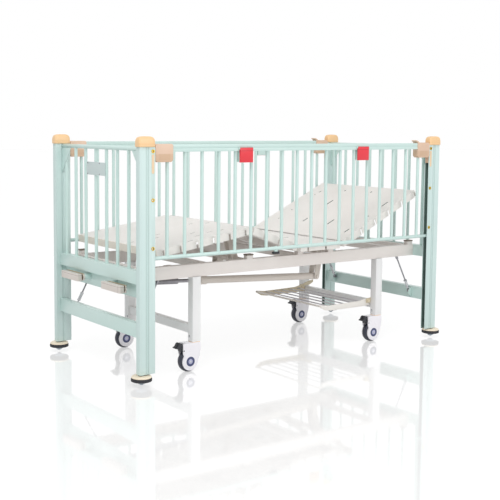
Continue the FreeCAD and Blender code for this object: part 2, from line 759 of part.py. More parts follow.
thigh_span = thigh_length - hinge_gap * 2
thigh_pan = panel(thigh_span, 66, 3, 94, [(60, -250, 30, 7), (170, -80, 30, 7), (60, 150, 30, 7)])
thigh_parts = [thigh_pan] + stiffeners(thigh_span, (-290, 290))
runner_base = pad_radius + 0.3 - pad_drop - hinge_drop
runner = box((sheet_metal, -12, runner_base), (thigh_span - sheet_metal, 12, -sheet_metal))
thigh_parts.append(runner)
thigh_parts += ears(thigh_span + hinge_gap, thigh_span - 4, pin_rows, free_bore)
thigh_parts += ears(-hinge_gap, 4, free_rows, free_bore)
thigh_start = hinge_gap - thigh_length
node(pose(fuse(thigh_parts), 0, hinge_z.value, -thigh_angle.value, thigh_start), "thigh_panel")

leg_span = leg_panel_length - hinge_gap
leg_slots = [(26, -97, 26, 6), (300, -210, 26, 6), (272, -290, 28, 6), (198, -60, 24, 6), (145, -129, 26, 6),
             (187, -359, 26, 6), (413, -291, 26, 6), (355, -272, 26, 6), (430, 5, 26, 6), (487, -65, 26, 6)]
leg_pan = panel(leg_span, 32, 6, 93, leg_slots)
leg_parts = [leg_pan] + stiffeners(leg_span, (-190, 0, 190))
leg_parts += ears(leg_span + hinge_gap, leg_span - 4, pin_rows, hinge_pin)
leg_parts.append(rod("y", hinge_pin, (leg_span + hinge_gap, -345, -hinge_drop), 700))
knee = Rotation(Vector(0, 1, 0), thigh_angle.value).multVec(Vector(-thigh_length.value, 0, 0))
leg_panel = pose(fuse(leg_parts), knee.x, hinge_z.value + knee.z, leg_angle.value, -leg_panel_length)
node(leg_panel, "leg_panel")


# ---------------------------------------------------------------- cranks and drives
def crank(shaft_end, drive_parts):
    """The far crank: its shaft turns in the crank bar, its arm lies across the cot."""
    back = crank_front + 27
    half = crank_height / 2
    hub = rod("x", half, (back, drive_y, crank_z), 13)
    arm = box((back, drive_y, crank_z - half), (back + 13, drive_y + crank_arm, crank_z + half))
    eye = rod("z", 5.7, (back + 5, drive_y + crank_arm, crank_z - half), crank_height)
    shaft = rod("x", 12, (back + 6, drive_y, crank_z), shaft_end - back - 6)
    tip = drive_y + crank_arm
    slit = box((back - 8, tip - 14, crank_z - 8), (back + 24, tip + 18, crank_z + 8))
    bore = rod("z", 4.05, (back + 5, drive_y + crank_arm, crank_z - half - 1), crank_height + 2)
    return cut(fuse([hub, arm, eye, shaft] + drive_parts), [slit, bore])


def crank_grip():
    """The far grip, folded flat against the arm, on a pin through the end of the arm."""
    back = crank_front + 26
    half = crank_height / 2
    hinge_y = drive_y + crank_arm
    handle = box((crank_front, drive_y - 15, crank_z - half), (back, hinge_y + 8, crank_z + half))
    rounded = doc.addObject("Part::Chamfer", "GripEdges")
    rounded.Base = handle
    rounded.Edges = [(edge, 4.0, 4.0) for edge in (1, 3, 5, 7)]
    tongue = box((back - 2, hinge_y - 6, crank_z - 7.5), (back + 12, hinge_y + 6, crank_z + 7.5))
    pin = rod("z", 4, (back + 6, hinge_y, crank_z - half), crank_height)
    return fuse([rounded, tongue, pin])


cup_bore = rod("x", 13, (ball_x - 14, drive_y, crank_z), 30)
cup = cut(rod("x", 17, (ball_x - 20, drive_y, crank_z), 30), [cup_bore])
back_crank = crank(ball_x - 16, [cup])
node(mirror(back_crank, ACROSS), "back_crank")
node(mirror(crank_grip(), ACROSS), "back_crank_grip")

drive_fall = math.degrees(math.atan2((crank_z - back_pin_z).value, (back_pin_x - ball_x).value))
screw_turn = Rotation(Vector(0, 1, 0), 90 + drive_fall)
slope_axis = screw_turn.multVec(Vector(0, 0, 1))


def sloped_rod(radius, start_x, stop_x):
    """A cylinder along the back drive, which falls from the universal joint to the lever tip."""
    solid = doc.addObject("Part::Cylinder", "SlopedRod")
    bind(solid, "Radius", radius)
    bind(solid, "Height", (stop_x - start_x) / slope_axis.x)
    fall = (as_size(start_x) - ball_x) * -(slope_axis.z / slope_axis.x)
    return place(solid, (start_x, -drive_y, crank_z - fall), screw_turn)


screw = turned("BackScrew", [
    (0, -12), (6, -10.4), (10.4, -6), (12, 0), (10.4, 6), (6, 10.4), (6, 35), (screw_radius, 35),
    (screw_radius, 70), (15, 70), (15, 290), (screw_radius, 290), (screw_radius, 611), (0, 611),
])
node(place(screw, (ball_x, -drive_y, crank_z), screw_turn), "back_drive_screw")


def push_tube(make_rod, coupling_x, stop_x, bore_x):
    """A tube pushed along its screw by the nut in its coupling."""
    coupling = make_rod(22, coupling_x, coupling_x + 42)
    tube = make_rod(tube_radius, coupling_x + 42, stop_x)
    nut_bore = make_rod(screw_radius + 0.1, coupling_x - 5, coupling_x + 47)
    tube_bore = make_rod(screw_radius + 4, coupling_x + 42, bore_x)
    return cut(fuse([coupling, tube]), [nut_bore, tube_bore])


def level_rod(radius, start_x, stop_x):
    """A cylinder along the knee drive."""
    return rod("x", radius, (start_x, drive_y, crank_z), as_size(stop_x) - start_x)


node(push_tube(sloped_rod, -432, back_pin_x + 16, -170), "back_push_tube")
node(crank(-800, [level_rod(screw_radius, -801, -270), level_rod(15, -801, -560)]), "knee_crank")
node(crank_grip(), "knee_crank_grip")
node(push_tube(level_rod, -470, knee_pin_x + 14, -210), "knee_push_tube")


def link(length, root, tip, thickness):
    """A flat link along +X with round ends, centred on y = 0."""
    sink = 0.2
    blade = extruded("Link", "XZ_Plane", [
        (0, sink - root), (length, sink - tip), (length, tip - sink), (0, root - sink),
    ], thickness)
    half = as_size(thickness) / 2
    ends = [rod("y", root, (0, -half, 0), thickness), rod("y", tip, (length, -half, 0), thickness)]
    return fuse([blade] + ends)


def aim(solid, start, stop, y):
    """Place something modelled along +X so that it points from start to stop."""
    angle = math.degrees(math.atan2(stop[1] - start[1], stop[0] - start[0]))
    return place(solid, (start[0], y, start[1]), Rotation(Vector(0, 1, 0), -angle))


def fork(shaft, tip, y, web_length):
    """The lever: two plates with bolt heads on either side of a push tube, and a web between them."""
    reach = math.hypot(tip[0] - shaft[0], tip[1] - shaft[1])
    parts = []
    for side in (-1, 1):
        middle = y + (fork_gap / 2 + 2.5) * side
        parts.append(aim(link(reach, 21, 16, 5), shaft, tip, middle))
        parts.append(rod("y", 8, (tip[0], middle + (2.5 if side > 0 else -9.5), tip[1]), 7))
    if web_length:
        web = extruded("Web", "XZ_Plane", [
            (8, -17), (web_length, -17), (web_length, -12), (8, -12),
        ], fork_gap + 2)
        parts.append(aim(web, shaft, tip, y))
    return parts


def lift_shaft(shaft, pin_radius):
    """A torsion tube across the frame with a pin at each end, turning in the side rails."""
    span = rail_inner * 2 - 1
    tube = rod("y", shaft_radius, (shaft[0], 0.5 - rail_inner, shaft[1]), span)
    hollow = cut(tube, [rod("y", shaft_radius - 3, (shaft[0], 20 - rail_inner, shaft[1]), span - 39)])
    ends = [rod("y", pin_radius, (shaft[0], y, shaft[1]), 30) for y in (-rail_inner - 14, rail_inner - 16)]
    return [hollow] + ends


def arm_tip(shaft, arm, slope, toward):
    """The middle of a lift pad, from its shaft along an arm that rises towards one end."""
    return shaft[0] + arm.value * math.cos(slope) * toward, shaft[1] + arm.value * math.sin(slope)


back_shaft = (back_shaft_x.value, back_shaft_z.value)
back_tip = arm_tip(back_shaft, back_arm, math.radians(back_angle.value) + back_slope, 1)
back_lift = lift_shaft(back_shaft, 8) + fork(back_shaft, (back_pin_x.value, back_pin_z.value), -drive_y, 80)
for side in (-1, 1):
    back_lift.append(aim(link(back_arm, 20, 11, 10), back_shaft, back_tip, (pad_row - 9) * side))
    back_lift.append(rod("y", pad_radius, (back_tip[0], pad_row * side - 14, back_tip[1]), 28))
node(fuse(back_lift), "back_lift_shaft")

knee_shaft = (knee_shaft_x.value, knee_shaft_z.value)
knee_tip = arm_tip(knee_shaft, knee_arm, math.radians(thigh_angle.value) + knee_slope, -1)
knee_lift = lift_shaft(knee_shaft, 8) + fork(knee_shaft, (knee_pin_x.value, crank_z.value), drive_y, 0)
for side in (-1, 1):
    knee_lift.append(aim(link(knee_arm, 20, 15, 6), knee_shaft, knee_tip, 19 * side))
knee_lift.append(rod("y", pad_radius, (knee_tip[0], -22, knee_tip[1]), 44))
node(fuse(knee_lift), "knee_lift_shaft")


# ---------------------------------------------------------------- guard rails
post_inner = post_x - post_length / 2
block_inner = post_inner - 1 - block_length
rail_bottom = guard_top - guard_rail_height
guard_pivot = guard_top - 19


def lower_rail():
    """The round lower rail, whose ends run in the post slots."""
    start = (-post_inner - 23, -post_y, guard_base + guard_tube / 2)
    return rod("x", guard_tube / 2, start, (post_inner + 23) * 2)


def guard_rails():
    """The grooved upper rail, the lower rail, and the brackets and lugs that carry the latch handles."""
    half = guard_rail_width / 2
    upper_end = (block_inner, half - post_y, guard_top)
    upper = box_tube("x", (-block_inner, -post_y - half, rail_bottom), upper_end)
    core = rod("x", guard_tube / 2 - bar_wall, (-post_x, -post_y, guard_base + guard_tube / 2), post_x * 2)
    slots = []
    for y in (-post_y - half - 1, half - post_y - 1.5):
        slot_end = (block_inner + 1, y + 2.5, guard_top - 14.5)
        slots.append(box((-block_inner - 1, y, guard_top - 17.5), slot_end))
    solids = [cut(upper, slots), cut(lower_rail(), [core])]
    for x in (-latch_x, latch_x):
        bracket_start = (x - latch_width / 2 + 3.5, -post_y - 12, latch_base + 2)
        solids.append(box(bracket_start, (x + latch_width / 2 - 3.5, 10 - post_y, rail_bottom)))
        for side in (-1, 1):
            edge = x + (latch_width / 2 + 3) * side
            lug_end = (edge + 2, -post_y - half, guard_pivot + 5)
            lug = box((edge - 2, -post_y - half - 8, guard_pivot - 5), lug_end)
            bore = rod("x", 2.05, (edge - 3, -post_y - half - 4.5, guard_pivot), 6)
            solids.append(cut(lug, [bore]))
    return solids


def guard_bars():
    """Bars up to the upper rail and one under each end block, coped to the lower rail."""
    bottom = guard_base + guard_tube / 2
    solids = []
    for count, top in ((guard_inner_bars, rail_bottom), (2, block_base)):
        body = new_body("GuardBars")
        drawing = body_sketch(body, "XY_Plane", bottom)
        reach = guard_pitch * (7.5 if count is guard_inner_bars else 8.5)
        circle(drawing, (-reach, -post_y), bar_diameter / 2)
        circle(drawing, (-reach, -post_y), bar_diameter / 2 - bar_wall)
        bar = pad(body, drawing, top - bottom)
        pattern(body, bar, "X_Axis", reach * 2, count)
        solids.append(cut(body, [lower_rail()]))
    return solids


def guard_block(with_horn):
    """The moulded end block of a guard, with the shoe that slides in the post slot."""
    outer = post_inner - 1
    top = guard_top + 3
    rim = [(block_inner + 7, top), (block_inner, top - 5)]
    if with_horn:
        rim = [(block_inner + 15, top), (block_inner + 3, top + 8), (block_inner - 10, top + 13),
               (block_inner - 13, top + 9), (block_inner, top)]
    block = new_body("GuardBlock")
    drawing = body_sketch(block, "XZ_Plane", post_y - block_width / 2)
    outline(drawing, [
        (block_inner, block_base + 10), (block_inner + 10, block_base), (outer - 9, block_base),
        (outer, block_base + 9), (outer, top - 9), (outer - 3, top - 3), (outer - 9, top),
    ] + rim)
    pad(block, drawing, block_width)
    shoe = box((outer - 2, -post_y - shoe_width / 2, block_base - 30),
               (post_inner + slot_depth - 3, shoe_width / 2 - post_y, guard_top - 14))
    bore = rod("y", pin_diameter / 2 + 0.1, (-lock_x, -post_y - 12, lock_top), 24)
    return cut(fuse([block, shoe]), [bore])


def latch_handle(x):
    """A pull handle hinged on the lugs of the upper rail, with a shallow return down each side."""
    half = latch_width / 2
    face = -post_y - guard_rail_width / 2
    front = box((x - half, face - 9, latch_base), (x + half, face - 5, latch_top))
    lip = box((x - half, face - 9, latch_top - 9), (x + half, face - 2, latch_top))
    hinge = rod("x", 2, (x - half - 5, face - 4.5, guard_pivot), latch_width + 10)
    cheeks = []
    for start in (x - half, x + half - 3):
        cheeks.append(box((start, face - 6, latch_base), (start + 3, face - 1, latch_top - 9)))
    return fuse([front, lip, hinge] + cheeks)


def latch_pin(side):
    """The spring pin in a guide shoe, drawn in by its handle."""
    return rod("y", pin_diameter / 2, (lock_x * -side, 0.3 - post_y - slot_half, lock_top), 13)


end_blocks = [guard_block(True), mirror(guard_block(False), ALONG)]
near_guard = {
    "near_guard_rails": group(guard_rails()),
    "near_guard_bars": group(guard_bars()),
    "near_guard_blocks": group(end_blocks),
    "near_foot_latch_handle": latch_handle(-latch_x),
    "near_head_latch_handle": latch_handle(latch_x),
    "near_foot_latch_pin": latch_pin(-1),
    "near_head_latch_pin": latch_pin(1),
}
for name, solid in near_guard.items():
    node(solid, name)
for name, solid in near_guard.items():
    node(mirror(solid, ACROSS), name.replace("near", "far"))


# ---------------------------------------------------------------- casters
def caster(label, leg_x, side_y):
    """One swivel caster, its axle trailing towards the foot end, with its wheel and brake pedal."""
    y = leg_y * side_y
    axle_x = leg_x - caster_trail
    inner = wheel_width / 2 + caster_gap
    outer = inner + shell_wall
    parts = []
    for middle in (-inner - shell_wall / 2, inner + shell_wall / 2):
        cheek = extruded("Cheek", "XZ_Plane", [
            (-37, 88), (-40, 84), (-40, 42), (-34, 24), (0, 0), (shell_radius, 0), (50, 18),
            (57, 60), (57, 86), (55, 88),
        ], shell_wall)
        parts.append(place(cheek, (axle_x, y + middle, wheel_radius)))
        parts.append(rod("y", shell_radius, (axle_x, y + middle - shell_wall / 2, wheel_radius), shell_wall))
    crown_end = (axle_x + 55, y + outer, wheel_radius + 88)
    parts.append(box((axle_x - 30, y - outer, wheel_radius + 55), crown_end))
    parts.append(rod("z", 11, (leg_x, y, wheel_radius + 78), leg_base + 30 - wheel_radius - 78))
    parts.append(rod("y", 5, (axle_x, y - outer, wheel_radius), outer * 2))
    pedal_x = axle_x - caster_trail
    pedal_z = wheel_radius + 54
    bore = rod("y", 3.55, (pedal_x, y - outer - 1, pedal_z), outer * 2 + 2)
    node(cut(fuse(parts), [bore]), f"{label}_caster_shell")

    half, edge = wheel_width / 2, wheel_radius
    wheel = turned("Wheel", [
        (5.05, -half), (edge - 10, -half), (edge - 3, 3 - half), (edge, 9 - half),
        (edge, half - 9), (edge - 3, half - 3), (edge - 10, half), (5.05, half),
    ])
    node(place(wheel, (axle_x, y, wheel_radius), AXIS_TURN["y"]), f"{label}_caster_wheel")

    body = extruded("Pedal", "XZ_Plane", [
        (6, -6), (-10, -4), (-14, 8), (-26, 10), (-40, 13), (-40, 18), (-31, 21),
        (-24, 34), (-16, 38), (-5, 33), (-1, 14), (5, 4),
    ], 30)
    place(body, (pedal_x, y, pedal_z))
    pin = rod("y", 3.5, (pedal_x, y - outer + 1, pedal_z), outer * 2 - 2)
    node(fuse([body, pin]), f"{label}_brake_pedal")


for end, middle_x in (("foot", leg_foot_x), ("head", leg_head_x)):
    for side, side_y in (("near", -1), ("far", 1)):
        caster(f"{end}_{side}", middle_x, side_y)


# ---------------------------------------------------------------- rack on the head legs
def rack():
    """Two arms on the pivot bolts, an outer bar and the wires between them."""
    arm = extruded("RackArm", "XZ_Plane", [
        (-rack_reach, -3), (40 - rack_reach, -24), (80 - rack_reach, -29), (-14, -29), (crossbar_gap, -26),
        (crossbar_gap, -10), (12, 10), (-12, 11), (-60, 2), (60 - rack_reach, -1), (8 - rack_reach, 6),
        (-rack_reach, 5),
    ], 4)
    place(arm, (rack_x, -rack_y, rack_z))
    near_arm = cut(arm, [rod("y", 5.05, (rack_x, -rack_y - 6, rack_z), 12)])
    parts = both_sides(near_arm)
    start, span = 2 - rack_y, rack_y * 2 - 4
    for step in range(5):
        parts.append(rod("y", 3.5, (rack_x - rack_reach + 74 + step * 58, start, rack_z - 6), span))
    parts.append(rod("y", 5, (rack_x - rack_reach + 7, start, rack_z), span))
    return group(parts)


crossbar_gap = leg_head_x - 18 - rack_x - 0.4
node(rack(), "rack")

# ---------------------------------------------------------------- checks and export
doc.recompute()
faults = []
for thing in doc.Objects:
    if "Invalid" in thing.State or "Error" in thing.State:
        faults.append(f"{thing.Name} ({thing.Label}): {thing.State}")
for part in nodes:
    if part.Shape.isNull() or not part.Shape.isValid():
        faults.append(f"{part.Label}: bad shape")
if faults:
    raise RuntimeError("; ".join(faults))

os.makedirs("parts", exist_ok=True)
for part in nodes:
    part.Shape.exportStep(f"parts/{part.Label}.step")
    print(f"{part.Label}: {len(part.Shape.Solids)} solids, {part.Shape.Volume / 1000:.1f} cm3")
print(len(nodes), "nodes")
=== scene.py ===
# %% [markdown]
# # A pediatric hospital cot
# The real cot is a welded steel frame between four extruded corner posts, with two side guards that
# slide down, a sectional platform that two cranks move, and swivel casters. The CAD model already holds
# every rigid piece in its true place, so this lesson dresses it: finishes, eased edges, and the small
# turned and moulded pieces that catch the light.

# %% Load the frame
import json
import math

import bmesh
import bpy
import numpy as np
from mathutils import Matrix, Vector

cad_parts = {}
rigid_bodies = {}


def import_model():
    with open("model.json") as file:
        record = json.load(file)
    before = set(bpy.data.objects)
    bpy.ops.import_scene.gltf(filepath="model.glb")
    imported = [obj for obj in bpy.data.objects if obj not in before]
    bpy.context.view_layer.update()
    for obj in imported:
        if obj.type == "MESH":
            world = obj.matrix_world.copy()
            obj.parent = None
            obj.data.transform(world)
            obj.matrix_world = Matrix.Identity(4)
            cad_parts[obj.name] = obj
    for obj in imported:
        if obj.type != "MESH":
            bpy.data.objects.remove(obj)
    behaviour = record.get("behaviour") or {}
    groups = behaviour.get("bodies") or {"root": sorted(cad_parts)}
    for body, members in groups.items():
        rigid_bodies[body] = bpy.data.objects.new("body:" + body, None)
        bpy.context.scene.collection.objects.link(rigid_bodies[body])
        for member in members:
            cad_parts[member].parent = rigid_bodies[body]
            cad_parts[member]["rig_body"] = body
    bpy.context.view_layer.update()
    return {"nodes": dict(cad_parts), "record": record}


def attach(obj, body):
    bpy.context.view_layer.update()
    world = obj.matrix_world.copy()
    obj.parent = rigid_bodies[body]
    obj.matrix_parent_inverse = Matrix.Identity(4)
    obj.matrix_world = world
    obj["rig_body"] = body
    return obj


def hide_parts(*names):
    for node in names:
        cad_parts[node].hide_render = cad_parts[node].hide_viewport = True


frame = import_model()

# %% [markdown]
# ## The camera
# A long lens from well back keeps the posts nearly parallel. The view comes from beside the foot end, a
# little above the top rails, and looks about five degrees down. Turning the camera further would make the
# posts lean apart, so a small shift of the lens puts the cot in its place in the frame instead.

# %% Camera
IMAGE_SIDE = 500
SENSOR_MM = 36.0
FOCAL_PX = 972.67
CENTRE_PX = (225.84, 214.85)
CAMERA_PLACE = (-3.0913, -4.0755, 1.1542)
YAW, PITCH, ROLL = -0.62069, 0.09076, 0.00747
FAR_CLIP = 60.0


def aim_camera(place, yaw, pitch, roll, focal_px, centre_px):
    """Turn yaw about Z, then pitch, then roll about the view line, as three unit vectors.

    Forward is (-sin yaw cos pitch, cos yaw cos pitch, -sin pitch), right is square to it and level, up is
    square to both, and roll turns right and up in their plane.
    """
    forward = np.array([
        -math.sin(yaw) * math.cos(pitch), math.cos(yaw) * math.cos(pitch), -math.sin(pitch)])
    right = np.cross(forward, (0.0, 0.0, 1.0))
    right /= np.linalg.norm(right)
    up = np.cross(right, forward)
    right, up = (right * math.cos(roll) + up * math.sin(roll),
                 up * math.cos(roll) - right * math.sin(roll))
    lens = bpy.data.cameras.new("camera")
    lens.sensor_width = SENSOR_MM
    lens.lens = focal_px * SENSOR_MM / IMAGE_SIDE
    lens.shift_x = 0.5 - centre_px[0] / IMAGE_SIDE
    lens.shift_y = centre_px[1] / IMAGE_SIDE - 0.5
    lens.clip_end = FAR_CLIP
    camera = bpy.data.objects.new("camera", lens)
    turn = Matrix(np.stack([right, up, -forward], 1).tolist()).to_4x4()
    camera.matrix_world = Matrix.Translation(place) @ turn
    bpy.context.scene.collection.objects.link(camera)
    bpy.context.scene.camera = camera


aim_camera(CAMERA_PLACE, YAW, PITCH, ROLL, FOCAL_PX, CENTRE_PX)
print("lens", round(bpy.context.scene.camera.data.lens, 2), "mm")

# %% [markdown]
# ## Colours and shader nodes
# Colours are written as they look on a screen, in hex, and turned to the linear values that the renderer
# adds and multiplies. One small function adds a shader node and wires it, so a finish reads as a short list.

# %% Colour and node helpers
def linear(text):
    """Undo the sRGB curve: c / 12.92 below 0.04045, else ((c + 0.055) / 1.055) to the power 2.4."""
    parts = [int(text[start:start + 2], 16) / 255 for start in (1, 3, 5)]
    return [part / 12.92 if part <= 0.04045 else ((part + 0.055) / 1.055) ** 2.4 for part in parts] + [1.0]


def add_node(tree, kind, sockets=(), **settings):
    """Add one node, set its properties, then fill its sockets with values or with other nodes' outputs."""
    new = tree.nodes.new(kind)
    for name, value in settings.items():
        setattr(new, name, value)
    for key, value in dict(sockets).items():
        if isinstance(value, bpy.types.NodeSocket):
            tree.links.new(value, new.inputs[key])
        else:
            new.inputs[key].default_value = value
    return new


def new_material(name):
    """An empty node material with its output."""
    material = bpy.data.materials.new(name)
    material.use_nodes = True
    material.node_tree.nodes.clear()
    return material, material.node_tree


# %% [markdown]
# ## Masks in the piece's own coordinates
# Object coordinates are metres in the cot's frame, so a colour change can follow the real part: a lining
# inside a slot, a painted end, a sleeve on a rod. A mask is the product of one soft band per axis, and
# |x| or |y| folds both halves of the cot onto one another.

# %% Masks
def band(tree, value, low, high, soft):
    """1 between low and high and 0 outside, with a smooth step of width 2 soft at both ends."""
    rise = add_node(tree, "ShaderNodeMapRange", {
        "Value": value, "From Min": low - soft, "From Max": low + soft}, interpolation_type="SMOOTHSTEP")
    fall = add_node(tree, "ShaderNodeMapRange", {
        "Value": value, "From Min": high - soft, "From Max": high + soft, "To Min": 1.0, "To Max": 0.0},
        interpolation_type="SMOOTHSTEP")
    return add_node(tree, "ShaderNodeMath", {0: rise.outputs[0], 1: fall.outputs[0]},
                    operation="MULTIPLY").outputs[0]


def region(tree, where, limits, soft):
    """The product of the bands in limits, such as {"|y|": (low, high), "z": (low, high)}, in metres."""
    parts = add_node(tree, "ShaderNodeSeparateXYZ", {0: where}).outputs
    mask = None
    for axis, (low, high) in limits.items():
        value = parts[axis.strip("|").upper()]
        if axis.startswith("|"):
            value = add_node(tree, "ShaderNodeMath", {0: value}, operation="ABSOLUTE").outputs[0]
        step = band(tree, value, low, high, soft)
        if mask is not None:
            step = add_node(tree, "ShaderNodeMath", {0: mask, 1: step}, operation="MULTIPLY").outputs[0]
        mask = step
    return mask


# %% [markdown]
# ## Powder coat, plastic and rubber
# The steel tubes and sheets are powder coated: dry paint is baked until it flows. It stays slightly
# rippled, like fine orange peel with waves of a few millimetres, and its shade drifts a little where the
# film is thicker. Moulded plastic has a finer grain, and the extruded posts show faint lines along the
# way they were drawn. Small scuffs dull the shine here and there. A thin line or a painted end could be a
# material of its own on its own faces, but an overlay is simpler: it tints one region of the same finish.
# Some overlays are painted shade, in a slot, a groove, a gap or under a lip, and one is painted light.

# %% Coated and moulded finishes
MIX_FACTOR, MIX_A, MIX_B, MIX_RESULT = 0, 6, 7, 2    # sockets of a Mix node that mixes colours
PATCH_SCALE = 7.0            # the shade drifts over patches about 140 mm across
SCUFF_SCALE = 45.0           # scuffs are about 20 mm across
SCUFF_FROM, SCUFF_TO = 0.35, 0.7
RIPPLE_RISE = 0.0006         # metres, deeper than a real film's ripple so that it shows
COAT_ROUGHNESS = 0.15
DIELECTRIC_IOR = 1.5
DRAWN_UPRIGHT = (1, 1, 0.03)    # stretches the grain of an extrusion along its length


def coated(name, colour, shade, roughness=0.42, peel=0.12, grain_mm=3.0, coat=0.0, drawn=(1, 1, 1),
           overlays=(), scuff=0.08):
    """A dielectric finish: soft patches of shade, coloured regions, scuffs in the gloss and a ripple.

    Roughness runs from roughness - scuff / 2 to roughness + scuff, and the ripple's waves are grain_mm long.
    Each overlay is (region in metres, tone, half the width of its soft edge in metres).
    """
    material, tree = new_material(name)
    where = add_node(tree, "ShaderNodeTexCoord").outputs["Object"]
    patches = add_node(tree, "ShaderNodeTexNoise", {"Vector": where, "Scale": PATCH_SCALE, "Detail": 3.0})
    tint = add_node(tree, "ShaderNodeMix", {
        MIX_FACTOR: patches.outputs["Fac"], MIX_A: linear(colour), MIX_B: linear(shade)},
        data_type="RGBA").outputs[MIX_RESULT]
    for limits, tone, soft in overlays:
        mask = region(tree, where, limits, soft)
        tint = add_node(tree, "ShaderNodeMix", {MIX_FACTOR: mask, MIX_A: tint, MIX_B: linear(tone)},
                        data_type="RGBA").outputs[MIX_RESULT]
    along = add_node(tree, "ShaderNodeMapping", {"Vector": where, "Scale": drawn}).outputs[0]
    ripple = add_node(tree, "ShaderNodeTexNoise", {"Vector": along, "Scale": 1000 / grain_mm, "Detail": 2.0})
    bump = add_node(tree, "ShaderNodeBump", {
        "Height": ripple.outputs["Fac"], "Strength": peel, "Distance": RIPPLE_RISE})
    marks = add_node(tree, "ShaderNodeTexNoise", {
        "Vector": along, "Scale": SCUFF_SCALE, "Detail": 6.0, "Roughness": 0.7})
    gloss = add_node(tree, "ShaderNodeMapRange", {
        "Value": marks.outputs["Fac"], "From Min": SCUFF_FROM, "From Max": SCUFF_TO,
        "To Min": roughness - scuff / 2, "To Max": roughness + scuff})
    surface = add_node(tree, "ShaderNodeBsdfPrincipled", {
        "Base Color": tint, "Roughness": gloss.outputs["Result"], "Normal": bump.outputs["Normal"],
        "Coat Weight": coat, "Coat Roughness": COAT_ROUGHNESS, "IOR": DIELECTRIC_IOR})
    add_node(tree, "ShaderNodeOutputMaterial", {"Surface": surface.outputs["BSDF"]})
    return material


# %% Painted steel and aluminium
# Powder coat is opaque and half glossy: broad soft highlights, and no grain of the metal under it.
# Painted shade: the inside of each post's slot is tinted dark grey-green for the shade deep in it.
POST_SLOT_SHADE = {"|x|": (0.8655, 0.8957), "|y|": (0.4018, 0.4242)}
POST_OUTER_FACE, POST_INNER_FACE = (0.4268, 0.44), (0.38, 0.3992)
OUTER_LINE_X, INNER_LINE_X, LINE_HALF = 0.9115, 0.8985, 0.0012
# Painted shade: thin darker lines along the posts' faces stand for the shade in the grooves of the profile.
POST_GROOVE_SHADE = [
    ({"|x|": (x - LINE_HALF, x + LINE_HALF), "|y|": face}, "#93ADA8", 0.0005)
    for x, face in ((OUTER_LINE_X, POST_OUTER_FACE), (OUTER_LINE_X, POST_INNER_FACE),
                    (INNER_LINE_X, POST_OUTER_FACE))]
finishes = {
    "mint_paint": coated("powder_coat_mint", "#CDE4DF", "#C5DDD8", roughness=0.34, coat=0.3),
    "mint_aluminium": coated(
        "powder_coat_mint_extrusion", "#CFE3E0", "#C9DDDA", drawn=DRAWN_UPRIGHT,
        overlays=[*POST_GROOVE_SHADE, (POST_SLOT_SHADE, "#4A655C", 0.0004)]),
    "frame_paint": coated("powder_coat_warm_white", "#EBE5E1", "#E3DCD7"),
    "platform_paint": coated(
        "powder_coat_platform", "#F1ECE8", "#E9E3DE", roughness=0.38,
        # Painted light: the foot edge, which the foot board shades, is tinted warmer for the warm light on
        # it.
        overlays=[({"x": (-0.87, -0.8262)}, "#EFE5DA", 0.0004)]),    # the warmer foot edge
    "leg_paint": coated("powder_coat_leg_white", "#F0F0F0", "#EAEAEA", roughness=0.35),
    "lever_paint": coated("powder_coat_lever", "#DDD5CD", "#D1C8BF"),
    "crank_paint": coated("powder_coat_crank", "#E2DAD2", "#D8CFC6", overlays=[
        ({"x": (-0.96, -0.9285), "z": (0.4345, 0.44)}, "#B89C78", 0.0006),    # the upper edge
        ({"x": (-0.96, -0.9405), "z": (0.41, 0.44)}, "#7A6753", 0.0004)]),    # the shaded front
    "rack_steel": coated("powder_coat_wire", "#CFCCD0", "#C2BFC4", roughness=0.4, overlays=[
        ({"|y|": (0.2706, 0.29)}, "#EDE9E3", 0.0002),      # both arms
        ({"x": (0.2, 0.2462)}, "#E2DCD5", 0.0004),         # the outer bar
        ({"y": (0.2706, 0.29)}, "#CFC2A8", 0.0002)]),      # the far arm
}

